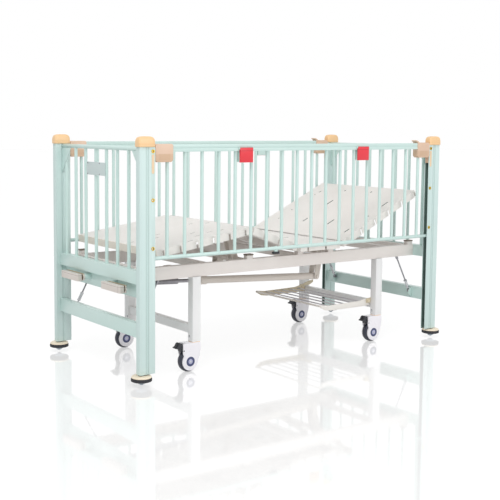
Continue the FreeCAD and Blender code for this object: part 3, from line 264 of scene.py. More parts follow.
# %% Moulded plastic
# ABS, polyamide and PVC come from polished moulds: even colour, tight highlights and a very fine grain.
finishes.update({
    "crank_plastic": coated(
        "moulded_crank_grip", "#DDD6CF", "#D3CAC2", roughness=0.36, grain_mm=1.5, overlays=[
            # Painted shade: three dark lines, for the shade in the gap against the arm, under the top and in
            # the hinge end's slit.
            ({"x": (-0.9475, -0.94)}, "#6F6152", 0.0004),      # the seam against the arm
            ({"z": (0.4295, 0.4307)}, "#85796C", 0.0004),      # a line under the top
            ({"|y|": (0.2765, 0.2780)}, "#7A6E62", 0.0004)]),  # a line at the hinge end
    "cap_plastic": coated(
        "moulded_cream_abs", "#F3CD9E", "#EFC48E", roughness=0.32, peel=0.05, coat=0.1),
    "strip_plastic": coated("moulded_strip", "#EED3B2", "#E6C8A4", roughness=0.5, peel=0.05),
    "block_plastic": coated(
        "moulded_peach_abs", "#DFC1AA", "#DABAA1", roughness=0.34, peel=0.05, coat=0.1, overlays=[
            ({"z": (0.9, 1.030)}, "#D5B498", 0.003),       # the lower half
            ({"z": (1.004, 1.031), "|x|": (0.789, 0.849)}, "#D0AF91", 0.0015)]),    # the darker field in it
    "red_plastic": coated(
        "moulded_red_abs", "#E93743", "#DF2E3A", roughness=0.34, peel=0.05, coat=0.1, overlays=[
            # Painted shadow: a dark red line under the lip, for the shadow that the lip casts.
            ({"z": (1.0405, 1.0421)}, "#A31E2C", 0.0004),      # a line under the lip
            ({"|x|": (0.40935, 0.43)}, "#B9BDBC", 0.0002),     # the ends of the hinge pin
            ({"|x|": (0.30, 0.33465)}, "#B9BDBC", 0.0002)]),
    "card_plastic": coated("card_pvc", "#CCD9D8", "#C1CFCE", roughness=0.35, peel=0.03),
    "bumper_plastic": coated("bumper_polyamide", "#B4C0CC", "#A7B4C1", roughness=0.4, overlays=[
        ({"z": (0.0235, 0.0395)}, "#4A4F55", 0.0003),      # the spindle
        ({"z": (0.0395, 0.0487)}, "#F1E3CC", 0.0003),      # the cream cover
        ({"z": (0.0487, 0.0512)}, "#3A4145", 0.0003),      # the dark line over it
        ({"z": (0.0512, 0.06)}, "#CDE2DC", 0.0003)]),      # the neck under the post
    "shell_plastic": coated(
        "caster_shell_nylon", "#F6F4F8", "#F0EDF3", roughness=0.3, peel=0.04, coat=0.1),
    "pedal_plastic": coated("pedal_polyamide", "#1D1E24", "#292A31", roughness=0.42, grain_mm=1.5),
})
HUB_NAVY = coated("hub_ring_navy", "#3B4266", "#454C72", roughness=0.4, grain_mm=1.5)
HUB_LILAC = coated("hub_ring_lilac", "#B9BAD6", "#ABACCB", roughness=0.4, grain_mm=1.5)

# %% Rubber, and the painted shade of the slot lips
# Rubber scatters the light: wide, weak highlights, so the roughness is high; the slot lips are painted shade.
finishes.update({
    "bumper_rubber": coated("bumper_rubber", "#1E1F24", "#2A2B31", roughness=0.6, grain_mm=1.2),
    "pad_rubber": coated("rest_pad_rubber", "#85796E", "#776C62", roughness=0.7),
    "tread_rubber": coated("tread_polyurethane", "#2A2D3A", "#363948", roughness=0.45, grain_mm=1.2),
})
# Painted shade: the turned-down lips round the slots and holes are grey-green for the shade in the openings.
SLOT_LIP_SHADE = coated("slot_lip_painted_shade", "#8F9C94", "#849189", roughness=0.55, grain_mm=1.5)
print(len(finishes), "coated and moulded finishes")

# %% [markdown]
# ## Bare and plated metal
# The drive screws are oiled steel, the pins bright zinc, and the small fittings carry yellow chromate over
# zinc, which shifts between gold and a faint green. Metals take their colour in the reflection, so metallic
# is 1, and an overlay for a painted or covered stretch takes it back to 0. A screw's thread could be cut
# into its mesh, but at this size rings of bump along the shaft show as much.

# %% Metals
WAVE_PERIOD_MM = 314.0     # one ring of the wave texture at scale 1
CLOUD_SCALE = 60.0         # the two tints mix in clouds about 17 mm across
STREAK_SCALE = 500.0       # streaks of about 2 mm in the gloss
GLOSS_SPREAD = 0.08
METAL_RISE = 0.0005
THREAD_BUMP, STREAK_BUMP = 0.6, 0.08


def plated(name, colour, shade, roughness, thread_mm=0.0, overlays=()):
    """A metal: two tints in cloudy patches, streaks in the roughness, and rings along x where it is threaded.

    Metallic is 1 minus the sum of the overlays' masks; the overlays don't meet.
    """
    material, tree = new_material(name)
    where = add_node(tree, "ShaderNodeTexCoord").outputs["Object"]
    cloud = add_node(tree, "ShaderNodeTexNoise", {"Vector": where, "Scale": CLOUD_SCALE, "Detail": 4.0})
    tint = add_node(tree, "ShaderNodeMix", {
        MIX_FACTOR: cloud.outputs["Fac"], MIX_A: linear(colour), MIX_B: linear(shade)},
        data_type="RGBA").outputs[MIX_RESULT]
    bare = 1.0
    for limits, tone, soft in overlays:
        mask = region(tree, where, limits, soft)
        tint = add_node(tree, "ShaderNodeMix", {MIX_FACTOR: mask, MIX_A: tint, MIX_B: linear(tone)},
                        data_type="RGBA").outputs[MIX_RESULT]
        bare = add_node(tree, "ShaderNodeMath", {0: bare, 1: mask}, operation="SUBTRACT").outputs[0]
    streak = add_node(tree, "ShaderNodeTexNoise", {
        "Vector": where, "Scale": STREAK_SCALE, "Detail": 3.0}).outputs["Fac"]
    height = streak
    if thread_mm:
        height = add_node(tree, "ShaderNodeTexWave", {"Vector": where, "Scale": WAVE_PERIOD_MM / thread_mm},
                          bands_direction="X").outputs["Fac"]
    gloss = add_node(tree, "ShaderNodeMapRange", {
        "Value": streak, "To Min": roughness - GLOSS_SPREAD, "To Max": roughness + GLOSS_SPREAD})
    bump = add_node(tree, "ShaderNodeBump", {
        "Height": height, "Strength": THREAD_BUMP if thread_mm else STREAK_BUMP, "Distance": METAL_RISE})
    surface = add_node(tree, "ShaderNodeBsdfPrincipled", {
        "Base Color": tint, "Metallic": bare, "Roughness": gloss.outputs["Result"],
        "Normal": bump.outputs["Normal"]})
    add_node(tree, "ShaderNodeOutputMaterial", {"Surface": surface.outputs["BSDF"]})
    return material


finishes["drive_steel"] = plated("oiled_screw_steel", "#9A989B", "#86848A", 0.4, thread_mm=5.0)
finishes["pin_steel"] = plated("bright_zinc", "#C6C7C9", "#B2B3B6", 0.32)
finishes["yellow_zinc"] = plated(
    "yellow_chromate_zinc", "#D9B028", "#C7A63A", 0.34,
    overlays=[({"z": (0.1, 0.3)}, "#D9CDB2", 0.001)])        # the painted rack brackets
TIE_STEEL = plated(
    "zinc_plated_rod", "#97979B", "#88888D", 0.38,
    overlays=[({"z": (0.266, 0.312)}, "#D3D5D8", 0.001)])    # the sleeve over the rod

# %% [markdown]
# ## Dress the CAD pieces
# Every node of the frame names its material slot in the record. The matching finish goes on that node's
# object, and its mesh stays as it is.

# %% Assign the finishes
slot_of = {part["node"]: part["material_slot"] for part in frame["record"]["subparts"]}
for name, thing in frame["nodes"].items():
    thing.data.materials.clear()
    thing.data.materials.append(finishes[slot_of[name]])
frame["nodes"]["tie_rods"].data.materials[0] = TIE_STEEL
print(len(slot_of), "nodes dressed in", len(finishes), "finishes")

# %% [markdown]
# ## Eased edges
# No pressed, cast or extruded piece has a knife edge: a radius of one or two millimetres runs along every
# arris, and that thin line is what catches the light. A copy of the CAD mesh is merged, its edges get a
# bevel, and the copy stands for the node.

# %% Eased copies
WELD_GAP = 2e-5
COPLANAR_TURN = math.radians(0.6)
SHARP_TURN = math.radians(38.0)


def link_piece(piece, body):
    """Put a finished piece into the scene, riding on its body."""
    bpy.context.scene.collection.objects.link(piece)
    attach(piece, body)


def eased_copy(node, width, segments):
    """Copy the node's mesh, weld its triangles, and bevel every edge that turns by more than SHARP_TURN."""
    source = frame["nodes"][node]
    mesh = source.data.copy()
    work = bmesh.new()
    work.from_mesh(mesh)
    bmesh.ops.remove_doubles(work, verts=work.verts, dist=WELD_GAP)
    bmesh.ops.dissolve_limit(work, angle_limit=COPLANAR_TURN, verts=work.verts, edges=work.edges)
    work.to_mesh(mesh)
    work.free()
    piece = bpy.data.objects.new(f"{node}_eased", mesh)
    ease = piece.modifiers.new("ease", "BEVEL")
    ease.width, ease.segments, ease.angle_limit = width, segments, SHARP_TURN
    ease.use_clamp_overlap = True
    ease.harden_normals = True
    mesh.shade_smooth()
    link_piece(piece, source["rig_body"])
    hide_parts(node)


edge_mm = {
    "foot_posts": 1.5, "head_posts": 1.5, "foot_board_rails": 2.0, "head_board_rails": 2.0, "bed_frame": 2.0,
    "leg_frames": 2.5, "back_crank": 1.5, "knee_crank": 1.5, "back_crank_grip": 3.0, "knee_crank_grip": 3.0,
    "near_guard_rails": 1.5, "far_guard_rails": 1.5, "card_plate": 1.0, "near_guard_blocks": 3.5,
    "far_guard_blocks": 3.5, "near_foot_latch_handle": 1.2, "near_head_latch_handle": 1.2,
    "far_foot_latch_handle": 1.2, "far_head_latch_handle": 1.2,
    "back_lift_shaft": 1.0, "knee_lift_shaft": 1.0, "rack": 1.0, "back_push_tube": 1.5, "knee_push_tube": 1.5,
}
WIDE_EASE_MM = 2.6    # a wider edge than this gets a third segment
caster_names = [f"{end}_{side}" for end in ("foot", "head") for side in ("near", "far")]
edge_mm.update({f"{name}_caster_shell": 3.0 for name in caster_names})
edge_mm.update({f"{name}_brake_pedal": 1.5 for name in caster_names})
for name, width in edge_mm.items():
    eased_copy(name, width / 1000, 3 if width > WIDE_EASE_MM else 2)
print(len(edge_mm), "nodes eased")

# %% [markdown]
# ## Surfaces from arrays
# The moulded and turned pieces are surfaces computed as whole arrays of points: a table of rows and columns
# that one rule joins into quads. A lathe turns a profile about an axis, a loaf is a boxy cap with a full
# top, a slab is a flat block with soft corners, and one bead or bolt is copied to every place at once.

# %% Surface makers
MM = 0.001


def grid_surface(points):
    """Join an array (rows, columns, 3) into quads, with the last column joined back to the first."""
    rows, columns = points.shape[:2]
    row = np.arange(rows - 1)[:, None] * columns
    column = np.arange(columns)[None, :]
    right = (column + 1) % columns
    corners = np.broadcast_arrays(row + column, row + right, row + columns + right, row + columns + column)
    return points.reshape(-1, 3), np.stack(corners, -1).reshape(-1, 4)


def rounded(points, times=2):
    """Cut the corners of a line: every side keeps the points a quarter and three quarters along it."""
    line = np.asarray(points, float)
    for _ in range(times):
        cuts = np.stack([0.75 * line[:-1] + 0.25 * line[1:], 0.25 * line[:-1] + 0.75 * line[1:]], 1)
        line = np.concatenate([line[:1], cuts.reshape(-1, 2), line[-1:]])
    return line


def lathe(profile, segments=48):
    """Turn a profile of (radius, height) in mm about Z: x = r cos a, y = r sin a, z = h."""
    radius, height = np.asarray(profile, float).T[:, :, None] * MM
    angle = np.linspace(0, 2 * np.pi, segments, endpoint=False)
    return grid_surface(np.stack([radius * np.cos(angle), radius * np.sin(angle), height + 0 * angle], -1))


def bead(radius, thickness, segments=20, sides=6):
    """A ring of round section about Z: r = R + t cos b and z = t sin b, for b all the way round."""
    around = np.linspace(0, 2 * np.pi, sides + 1)
    return lathe(np.stack([radius + thickness * np.cos(around), thickness * np.sin(around)], 1), segments)


def soft_outline(half_long, half_wide, corner, columns):
    """A rounded rectangle: x = L sign(cos a) |cos a|^c and y = W sign(sin a) |sin a|^c."""
    angle = np.linspace(0, 2 * np.pi, columns, endpoint=False) + np.pi / columns
    x = np.sign(np.cos(angle)) * np.abs(np.cos(angle)) ** corner
    y = np.sign(np.sin(angle)) * np.abs(np.sin(angle)) ** corner
    return x * half_long, y * half_wide


def stacked(outline, levels):
    """Rings of one outline in mm: at each (height, inset, share) it is drawn in by inset, scaled by share."""
    x, y = outline
    height, inset, share = np.asarray(levels, float).T[:, :, None]
    x_ring = (x - np.sign(x) * inset) * share
    y_ring = (y - np.sign(y) * inset) * share
    return grid_surface(np.stack([x_ring, y_ring, height + 0 * x], -1) * MM)


RIM_LEVELS = [0, 0, 0.7, 2, 9.4, 10.2, 11.0, 11.8, 12.6]
RIM_INSET, RIM_FADE = 2.2, 0.8
SEAM_LEVEL, SEAM_INSET, SEAM_HALF = 11.0, 0.7, 0.7
CROWN_RISE, CROWN_RINGS, CROWN_CROWDING = 34, 15, 1.7


def loaf(half_long, half_wide, height, bulge=4.0, corner=0.3):
    """A pillow-topped cap in mm: the share at height h is (1 - (h / H)^n)^(1 / n).

    The inset at height h is 2.2 times e^(-h / 0.8), which rounds the rim, plus 0.7 times
    e^(-((h - 11) / 0.7)^2), a fine seam above it. The crown's rings crowd towards the top.
    """
    crown = height - CROWN_RISE * np.linspace(1, 0, CROWN_RINGS)[1:] ** CROWN_CROWDING
    heights = np.concatenate([RIM_LEVELS, crown])
    share = (1 - (heights / height) ** bulge).clip(0) ** (1 / bulge)
    share[0] = 0.0
    inset = (RIM_INSET * np.exp(-heights / RIM_FADE)
             + SEAM_INSET * np.exp(-((heights - SEAM_LEVEL) / SEAM_HALF) ** 2))
    return stacked(soft_outline(half_long, half_wide, corner, 72), np.stack([heights, inset, share], 1))


def slab(half_long, half_wide, half_high, corner, edge):
    """A flat block with soft corners in mm, whose rings draw in by edge at its top and bottom."""
    soft = edge * 0.3
    levels = [
        (-half_high, edge, 0), (-half_high, edge, 1), (-half_high + soft, soft, 1), (-half_high + edge, 0, 1),
        (half_high - edge, 0, 1), (half_high - soft, soft, 1), (half_high, edge, 1), (half_high, edge, 0)]
    return stacked(soft_outline(half_long, half_wide, corner, 40), levels)


def facing(surface, direction):
    """Turn a surface made about +Z so that it faces +x, -x, +y, -y or -z."""
    points, faces = surface
    order = {"x": [2, 1, 0], "y": [0, 2, 1], "z": [0, 1, 2]}[direction[1]]
    turned = points[:, order]
    flip = [-1 if direction[0] == "-" and axis == direction[1] else 1 for axis in "xyz"]
    return turned * flip, faces


def leaning(surface, angle):
    """Turn about Y by angle: x' = x cos t + z sin t and z' = z cos t - x sin t."""
    points, faces = surface
    x, y, z = points.T
    turned = [x * np.cos(angle) + z * np.sin(angle), y, z * np.cos(angle) - x * np.sin(angle)]
    return np.stack(turned, 1), faces


def repeated(surface, places):
    """Copy a surface to every place in mm: all its points plus each offset, all its faces numbered on."""
    points, faces = surface
    offsets = np.asarray(places, float) * MM
    numbered = faces[None] + len(points) * np.arange(len(offsets))[:, None, None]
    return (points[None] + offsets[:, None]).reshape(-1, 3), numbered.reshape(-1, 4)


def make_piece(name, surfaces, body, slot, replaced=(), finish=None, crease=40.0):
    """Merge surfaces into one mesh, weld doubled points, face it outward and keep edges over crease sharp.

    The piece wears the finish of its slot, unless it is given another.
    """
    starts = np.cumsum([0] + [len(points) for points, _ in surfaces])
    points = np.concatenate([points for points, _ in surfaces])
    faces = np.concatenate([faces + start for (_, faces), start in zip(surfaces, starts)])
    mesh = bpy.data.meshes.new(name)
    mesh.from_pydata(points.tolist(), [], faces.tolist())
    work = bmesh.new()
    work.from_mesh(mesh)
    bmesh.ops.remove_doubles(work, verts=work.verts, dist=1e-6)
    bmesh.ops.recalc_face_normals(work, faces=work.faces)
    work.to_mesh(mesh)
    work.free()
    mesh.shade_smooth()
    mesh.set_sharp_from_angle(angle=math.radians(crease))
    mesh.materials.append(finish or finishes[slot])
    piece = bpy.data.objects.new(name, mesh)
    link_piece(piece, body)
    if replaced:
        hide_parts(*replaced)


# %% [markdown]
# ## Caps, bumpers and casters
# The cream caps are pillow shaped. Each bumper is a turned stack: a cream cover, a free black roller and a
# grey cone. The tyres are crowned, so they touch the floor along a narrow line. A lathed profile says all
# of that in one list of (radius, height) points, where a sculpted mesh would hide the sizes.

# %% Post caps
POST_X, POST_Y, POST_TOP = 905, 413, 1062
CAP_SHIFT = 3    # a cap ends flush with the slotted face of its post
CAP_HALF_LONG, CAP_HALF_WIDE, CAP_HEIGHT = 43, 21, 47
corner_signs = [(x, y) for x in (-1, 1) for y in (-1, 1)]
cap_places = [((POST_X + CAP_SHIFT) * x, POST_Y * y, POST_TOP) for x, y in corner_signs]
cap = loaf(CAP_HALF_LONG, CAP_HALF_WIDE, CAP_HEIGHT)
make_piece("post_cap_loaves", [repeated(cap, cap_places)], "frame", "cap_plastic", ["post_caps"])
print(len(cap_places), "post caps")

# %% Bumpers
BUMPER_X = 927
end_sign = {"foot": -1, "head": 1}
side_sign = {"near": -1, "far": 1}
mount_profile = rounded([
    (0, 53), (13, 53), (13, 49.5), (16, 48), (41, 48), (44.5, 46.5), (46, 41.5), (45, 40), (8, 40), (8, 23),
    (23, 23), (25, 22.5), (24, 20), (14, 13), (8, 9), (5, 7), (0, 7)], 1)
roller_profile = rounded([
    (8.05, 23.6), (43, 23.5), (47.5, 26), (47.5, 30), (46.7, 31.5), (47.5, 33), (47.5, 37), (44, 39.5),
    (8.05, 39.4)], 1)
mount_places = [(BUMPER_X * x, POST_Y * y, 0) for x, y in corner_signs]
make_piece("bumper_stacks", [repeated(lathe(mount_profile), mount_places)], "frame",
           "bumper_plastic", ["bumper_mounts"], crease=50.0)
for name in caster_names:
    end, side = name.split("_")
    place = (BUMPER_X * end_sign[end], POST_Y * side_sign[side], 0)
    make_piece(f"{name}_roller_tyre", [repeated(lathe(roller_profile, 64), [place])],
               f"{name}_bumper_roller", "bumper_rubber", [f"{name}_bumper_roller"])
print(len(mount_places), "bumpers with rollers")

# %% Casters
AXLE_X = {"foot": -608, "head": 578}
LEG_X = {"foot": -572, "head": 614}
LEG_Y, AXLE_Z, CHEEK_HALF = 302, 51, 23.8
half_tyre = [
    (5.05, -17), (30, -17), (33, -16), (36, -16), (38, -16.8), (41, -16.8), (44.5, -15.4), (48, -13.6),
    (50.2, -10), (51, -5)]
tyre_profile = rounded(half_tyre + [(radius, -across) for radius, across in half_tyre[::-1]], 1)
ring_profile = rounded([(12, 0), (12, 1.2), (14, 1.8), (20, 1.8), (23, 1.0), (23, 0), (12, 0)], 1)
disc_profile = rounded([(0, 1.4), (10.5, 1.4), (12, 0.9), (12.2, 0), (0, 0)], 1)
nut_profile = [(0, 3.4), (3.6, 3.4), (4.8, 2.8), (5, 0), (0, 0)]
hub_parts = {
    "ring": (lathe(ring_profile), HUB_NAVY, "tread_rubber"),
    "disc": (lathe(disc_profile), HUB_LILAC, "shell_plastic"),
    "nut": (lathe(nut_profile, 6), finishes["pin_steel"], "pin_steel"),
}
for name in caster_names:
    end, side = name.split("_")
    middle = LEG_Y * side_sign[side]
    tyre = repeated(facing(lathe(tyre_profile, 72), "+y"), [(AXLE_X[end], middle, AXLE_Z)])
    make_piece(f"{name}_tyre", [tyre], f"{name}_caster_wheel", "tread_rubber", [f"{name}_caster_wheel"])
    for part, (shape, finish, slot) in hub_parts.items():
        cheeks = [repeated(facing(shape, turn), [(AXLE_X[end], middle + CHEEK_HALF * sign, AXLE_Z)])
                  for turn, sign in (("+y", 1), ("-y", -1))]
        make_piece(f"{name}_hub_{part}", cheeks, f"{name}_caster_shell", slot, finish=finish)
print(len(caster_names), "casters with", len(hub_parts), "hub parts each")

# %% [markdown]
# ## Welds, screws and small fittings
# A ring of weld closes every bar where it meets its rail. The leg ends carry cream plugs, the card holder
# four screws, and the near guard a rubber buffer under its lower rail. All are small and alike, so each
# shape is made once and its points are copied to every place.

# %% Weld beads
GUARD_PITCH, BOARD_PITCH = 93.5, 104
GUARD_TOP_Z, GUARD_FOOT_Z = 1039.6, 575.2
BOARD_BAR_X, BOARD_WELD_Z = (-902, 889), (510.4, 1043.6)


def evenly(count, pitch):
    """Places on either side of the middle: place i is (i - (count - 1) / 2) times the pitch."""
    return (np.arange(count) - (count - 1) / 2) * pitch


bar_bead = bead(8.1, 1.3)
for side, sign in side_sign.items():
    tops = [(x, POST_Y * sign, GUARD_TOP_Z) for x in evenly(16, GUARD_PITCH)]
    feet = [(x, POST_Y * sign, GUARD_FOOT_Z) for x in evenly(18, GUARD_PITCH)]
    make_piece(f"{side}_guard_welds", [repeated(bar_bead, tops + feet)], f"{side}_guard", "mint_paint")
board_places = [(x, y, z) for x in BOARD_BAR_X for y in evenly(8, BOARD_PITCH) for z in BOARD_WELD_Z]
make_piece("board_welds", [repeated(bar_bead, board_places)], "frame", "mint_paint")
print(2 * len(tops + feet) + len(board_places), "weld beads")

# %% Leg plugs, bolts and screws
PLUG_Z = 139.8
LEG_FACE = 22.4    # from the middle of a leg to just inside its outer face
BOLT_Y, BOLT_Z = 293, 164
SCREW_X, SCREW_Y, SCREW_Z = -912.9, (-2, 115), (976, 924)
plug = slab(LEG_FACE, 19.9, 1.2, 0.2, 0.8)
leg_places = [(LEG_X[end], LEG_Y * sign, PLUG_Z) for end in LEG_X for sign in (-1, 1)]
make_piece("leg_plugs", [repeated(plug, leg_places)], "frame", "cap_plastic")
bolt = lathe([(0, 3.2), (3.8, 3.2), (4.8, 2.4), (4.8, 0), (0, 0)], 6)
washer = lathe(rounded([(0, 0.8), (6.5, 0.8), (7.2, 0), (0, 0)], 1), 24)
bolt_places = [(x - LEG_FACE, BOLT_Y * sign, BOLT_Z) for x in LEG_X.values() for sign in (-1, 1)]
make_piece("leg_bolts", [repeated(facing(shape, "-x"), bolt_places) for shape in (bolt, washer)],
           "frame", "pin_steel")
screw = lathe(rounded([(0, 1.2), (1.2, 1.3), (3.2, 1.1), (3.8, 0), (0, 0)], 1), 20)
screw_places = [(SCREW_X, y, z) for y in SCREW_Y for z in SCREW_Z]
make_piece("card_screws", [repeated(facing(screw, "-x"), screw_places)], "frame", "drive_steel")
print(len(leg_places), "plugs,", len(bolt_places), "bolts,", len(screw_places), "screws")

# %% Guard buffer
BUFFER_X, BUFFER_Z, CLIP_Z, LUG_Z = -174, 546.5, 568, 555.5
buffer_block = slab(19.5, 8, 5.5, 0.3, 2.0)
make_piece("guard_buffer", [repeated(buffer_block, [(BUFFER_X, -POST_Y, BUFFER_Z)])],
           "near_guard", "bumper_rubber")
clip = lathe(rounded([(9.05, -6), (10.6, -6), (10.6, 6), (9.05, 6)], 1), 32)
lug = slab(10, 5, 4.5, 0.3, 0.8)
make_piece("guard_buffer_clip", [repeated(facing(clip, "+x"), [(BUFFER_X, -POST_Y, CLIP_Z)]),
                                 repeated(lug, [(BUFFER_X, -POST_Y, LUG_Z)])], "near_guard", "mint_paint")

# %% [markdown]
# ## Slot edging on the platform
# The pressed sheets are slotted, and a few round holes go through the back section. Here each opening has a
# low rolled rim and a thin turned-down lip, whose grey-green is painted shade for the dark in the opening;
# what a real cot has there isn't certain. They could be swept along a curve, but a slot's outline is one
# formula, so both are rings of it: made flat in the panel's own plane, then leaned about the panel's hinge
# with it.

# %% Panel places and slots
BACK_HINGE_X, HINGE_Z, HINGE_DROP, HINGE_GAP = 283, 558, 12, 11
THIGH_LENGTH, LEG_LENGTH = 310, 545
BACK_LEAN, THIGH_LEAN, LEG_LEAN = math.radians(24.9), math.radians(20), math.radians(8.2)
KNEE_X, KNEE_Z = -THIGH_LENGTH * math.cos(THIGH_LEAN), HINGE_Z + THIGH_LENGTH * math.sin(THIGH_LEAN)
# Each body of the platform: its hinge's x and z, its lean, and where its own x starts from the hinge.
panels = {
    "back_panel": (BACK_HINGE_X, HINGE_Z, BACK_LEAN, HINGE_GAP),
    "thigh_panel": (0, HINGE_Z, -THIGH_LEAN, HINGE_GAP - THIGH_LENGTH),
    "leg_panel": (KNEE_X, KNEE_Z, LEG_LEAN, -LEG_LENGTH),
    "frame": (0, HINGE_Z, 0.0, HINGE_GAP),
}
# Each slot: where it starts along x, its middle across y, its length and its width. Each hole: its x and y.
panel_slots = {
    "back_panel": [(332, 88, 57, 9), (132, -127, 55, 9), (131, 76, 38, 9), (375, -316, 49, 9),
                   (78, -319, 35, 9), (464, 288, 14, 9), (501, 107, 14, 9), (509, -101, 14, 9)],
    "thigh_panel": [(60, -250, 30, 7), (170, -80, 30, 7), (60, 150, 30, 7)],
    "leg_panel": [(26, -97, 26, 6), (300, -210, 26, 6), (272, -290, 28, 6), (198, -60, 24, 6),
                  (145, -129, 26, 6), (187, -359, 26, 6), (413, -291, 26, 6), (355, -272, 26, 6),
                  (430, 5, 26, 6), (487, -65, 26, 6)],
    "frame": [(90, -105, 55, 9), (90, 95, 55, 9)],
}
back_holes = [(431, 293), (237, 292), (131, 291), (368, -105), (260, -322)]


def slot_ring(length, width, section):
    """A closed section of (height, inset) in mm, carried round a slot as rings of its outline."""
    outline = soft_outline(length / 2, width / 2, 0.12, 24)
    return stacked(outline, [(height, inset, 1) for height, inset in section])


def on_panel(surface, panel, x, y):
    """Set a surface at (x, y) of a panel's plane, lean it about the hinge and move it to the hinge."""
    hinge_x, hinge_z, lean, start = panels[panel]
    flat = repeated(surface, [(x + start, y, HINGE_DROP)])
    return repeated(leaning(flat, -lean), [(hinge_x, 0, hinge_z)])


def round_openings(panel, section, hole_ring):
    """One section round every slot of a panel, and hole_ring at every round hole of the back section."""
    rings = [on_panel(slot_ring(long, wide, section), panel, x + long / 2, y)
             for x, y, long, wide in panel_slots[panel]]
    holes = back_holes if panel == "back_panel" else []
    return rings + [on_panel(hole_ring, panel, x, y) for x, y in holes]


# %% Rims and edging
rim_section = [(-0.2, -3.6), (0.5, -3.3), (1.0, -2.2), (1.0, -1.0), (0.5, 0.1), (-0.2, 0.3), (-0.2, -3.6)]
edging_section = [(0.6, 0.02), (0.6, 0.9), (-9, 0.9), (-9, 0.05), (0.6, 0.02)]
hole_rim = lathe([(4.4, -0.2), (4.7, 0.5), (5.8, 1.1), (7.6, 0.8), (8.6, -0.2), (4.4, -0.2)], 24)
hole_edging = lathe([(4.95, 0.3), (4.1, 0.3), (4.1, -8), (4.95, -8), (4.95, 0.3)], 24)
for panel in panel_slots:
    label = "seat_panel" if panel == "frame" else panel
    make_piece(f"{label}_slot_rims", round_openings(panel, rim_section, hole_rim), panel, "platform_paint")
    make_piece(f"{label}_slot_edging", round_openings(panel, edging_section, hole_edging), panel,
               "pad_rubber", finish=SLOT_LIP_SHADE)
print(sum(len(slots) for slots in panel_slots.values()), "slots and", len(back_holes), "holes edged")

# %% Turnbuckle nuts
ROD_LEAN = math.radians(27.9)
ROD_START_X = {"foot": -880, "head": 862}
ROD_Y, ROD_START_Z = 306, 252
NUTS_ALONG = (26, 64)    # from the hook, up the rod
rod_nut = lathe([(0, -4), (9.5, -4), (10, -3), (10, 3), (9.5, 4), (0, 4)], 6)
for end, sign in end_sign.items():
    start = np.array([ROD_START_X[end], ROD_Y, ROD_START_Z])
    step = np.array([-sign * math.sin(ROD_LEAN), 0, math.cos(ROD_LEAN)])
    places = [start * (1, y, 1) + step * along for y in (-1, 1) for along in NUTS_ALONG]
    make_piece(f"{end}_turnbuckle_nuts", [repeated(leaning(rod_nut, -sign * ROD_LEAN), places)], "frame",
               "pin_steel")

# %% [markdown]
# ## The studio
# A pale floor that runs past the horizon and an even white sky give soft light from everywhere. One large
# soft lamp over the foot end shapes the posts, and a lower one lights the near side. Seen by the camera or
# in a reflection, the sky is plain white, and the floor is a steady glow over a faint matte coat: it reads
# as white and still darkens in the cot's shadow. A polish laid over it by Fresnel mirrors the cot.
# Scattered light meets a plain pale matte instead, so that the glow doesn't light the cot.

# %% Floor, sky and lamps
FLOOR_HALF = 40.0
FLOOR_MATTE, FLOOR_FAINT, FLOOR_GLOW = "#E6E6E6", "#A0A0A0", 0.76
POLISH_ROUGHNESS, POLISH_IOR = 0.05, 2.2
WHITE = (1, 1, 1, 1)
SKY_LIGHT = 0.69
LAMP_TARGET, LAMP_SIDE = (0, 0, 0.5), 3.0
KEY_PLACE, KEY_WATTS = (-3.0, -2.2, 5.2), 118
FILL_PLACE, FILL_WATTS = (1.0, -5.5, 2.2), 70


def looked_at(tree):
    """1 for a ray that comes from the camera or from a reflection, and 0 for any other."""
    seen = add_node(tree, "ShaderNodeLightPath")
    return add_node(tree, "ShaderNodeMath", {
        0: seen.outputs["Is Camera Ray"], 1: seen.outputs["Is Glossy Ray"]}, operation="MAXIMUM").outputs[0]


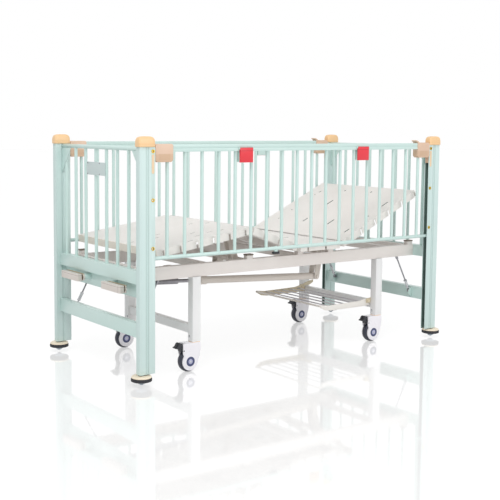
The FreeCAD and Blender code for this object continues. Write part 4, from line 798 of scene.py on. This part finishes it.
def studio_floor():
    """A flat square of floor, white to the eye, which still takes the cot's shadow and a faint reflection."""
    mesh = bpy.data.meshes.new("floor")
    corners = [(-FLOOR_HALF, -FLOOR_HALF, 0), (FLOOR_HALF, -FLOOR_HALF, 0),
               (FLOOR_HALF, FLOOR_HALF, 0), (-FLOOR_HALF, FLOOR_HALF, 0)]
    mesh.from_pydata(corners, [], [(0, 1, 2, 3)])
    floor = bpy.data.objects.new("floor", mesh)
    material, tree = new_material("studio_floor")
    direct = looked_at(tree)
    matte = add_node(tree, "ShaderNodeBsdfDiffuse", {"Color": linear(FLOOR_MATTE)})
    faint = add_node(tree, "ShaderNodeBsdfDiffuse", {"Color": linear(FLOOR_FAINT)})
    glow = add_node(tree, "ShaderNodeEmission", {"Strength": FLOOR_GLOW})
    white = add_node(tree, "ShaderNodeAddShader", {0: faint.outputs[0], 1: glow.outputs[0]})
    polish = add_node(tree, "ShaderNodeBsdfAnisotropic", {"Color": WHITE, "Roughness": POLISH_ROUGHNESS})
    grazing = add_node(tree, "ShaderNodeFresnel", {"IOR": POLISH_IOR})
    both = add_node(tree, "ShaderNodeMixShader", {
        0: grazing.outputs[0], 1: white.outputs[0], 2: polish.outputs[0]})
    choice = add_node(tree, "ShaderNodeMixShader", {0: direct, 1: matte.outputs[0], 2: both.outputs[0]})
    add_node(tree, "ShaderNodeOutputMaterial", {"Surface": choice.outputs[0]})
    mesh.materials.append(material)
    bpy.context.scene.collection.objects.link(floor)


def studio_sky(strength):
    """An even white sky: full white to the camera and in reflections, and strength as light."""
    world = bpy.data.worlds.new("studio")
    world.use_nodes = True
    tree = world.node_tree
    tree.nodes.clear()
    level = add_node(tree, "ShaderNodeMapRange", {
        "Value": looked_at(tree), "To Min": strength, "To Max": 1.0})
    sky = add_node(tree, "ShaderNodeBackground", {"Color": WHITE, "Strength": level.outputs["Result"]})
    add_node(tree, "ShaderNodeOutputWorld", {"Surface": sky.outputs[0]})
    bpy.context.scene.world = world


def soft_lamp(name, place, watts):
    """A square area lamp at place, facing the middle of the cot."""
    lamp = bpy.data.lights.new(name, "AREA")
    lamp.size, lamp.energy = LAMP_SIDE, watts
    holder = bpy.data.objects.new(name, lamp)
    holder.location = place
    holder.rotation_euler = (Vector(LAMP_TARGET) - Vector(place)).to_track_quat("-Z", "Y").to_euler()
    bpy.context.scene.collection.objects.link(holder)


studio_floor()
studio_sky(SKY_LIGHT)
soft_lamp("key", KEY_PLACE, KEY_WATTS)
soft_lamp("fill", FILL_PLACE, FILL_WATTS)
bpy.context.scene.view_settings.view_transform = "Standard"
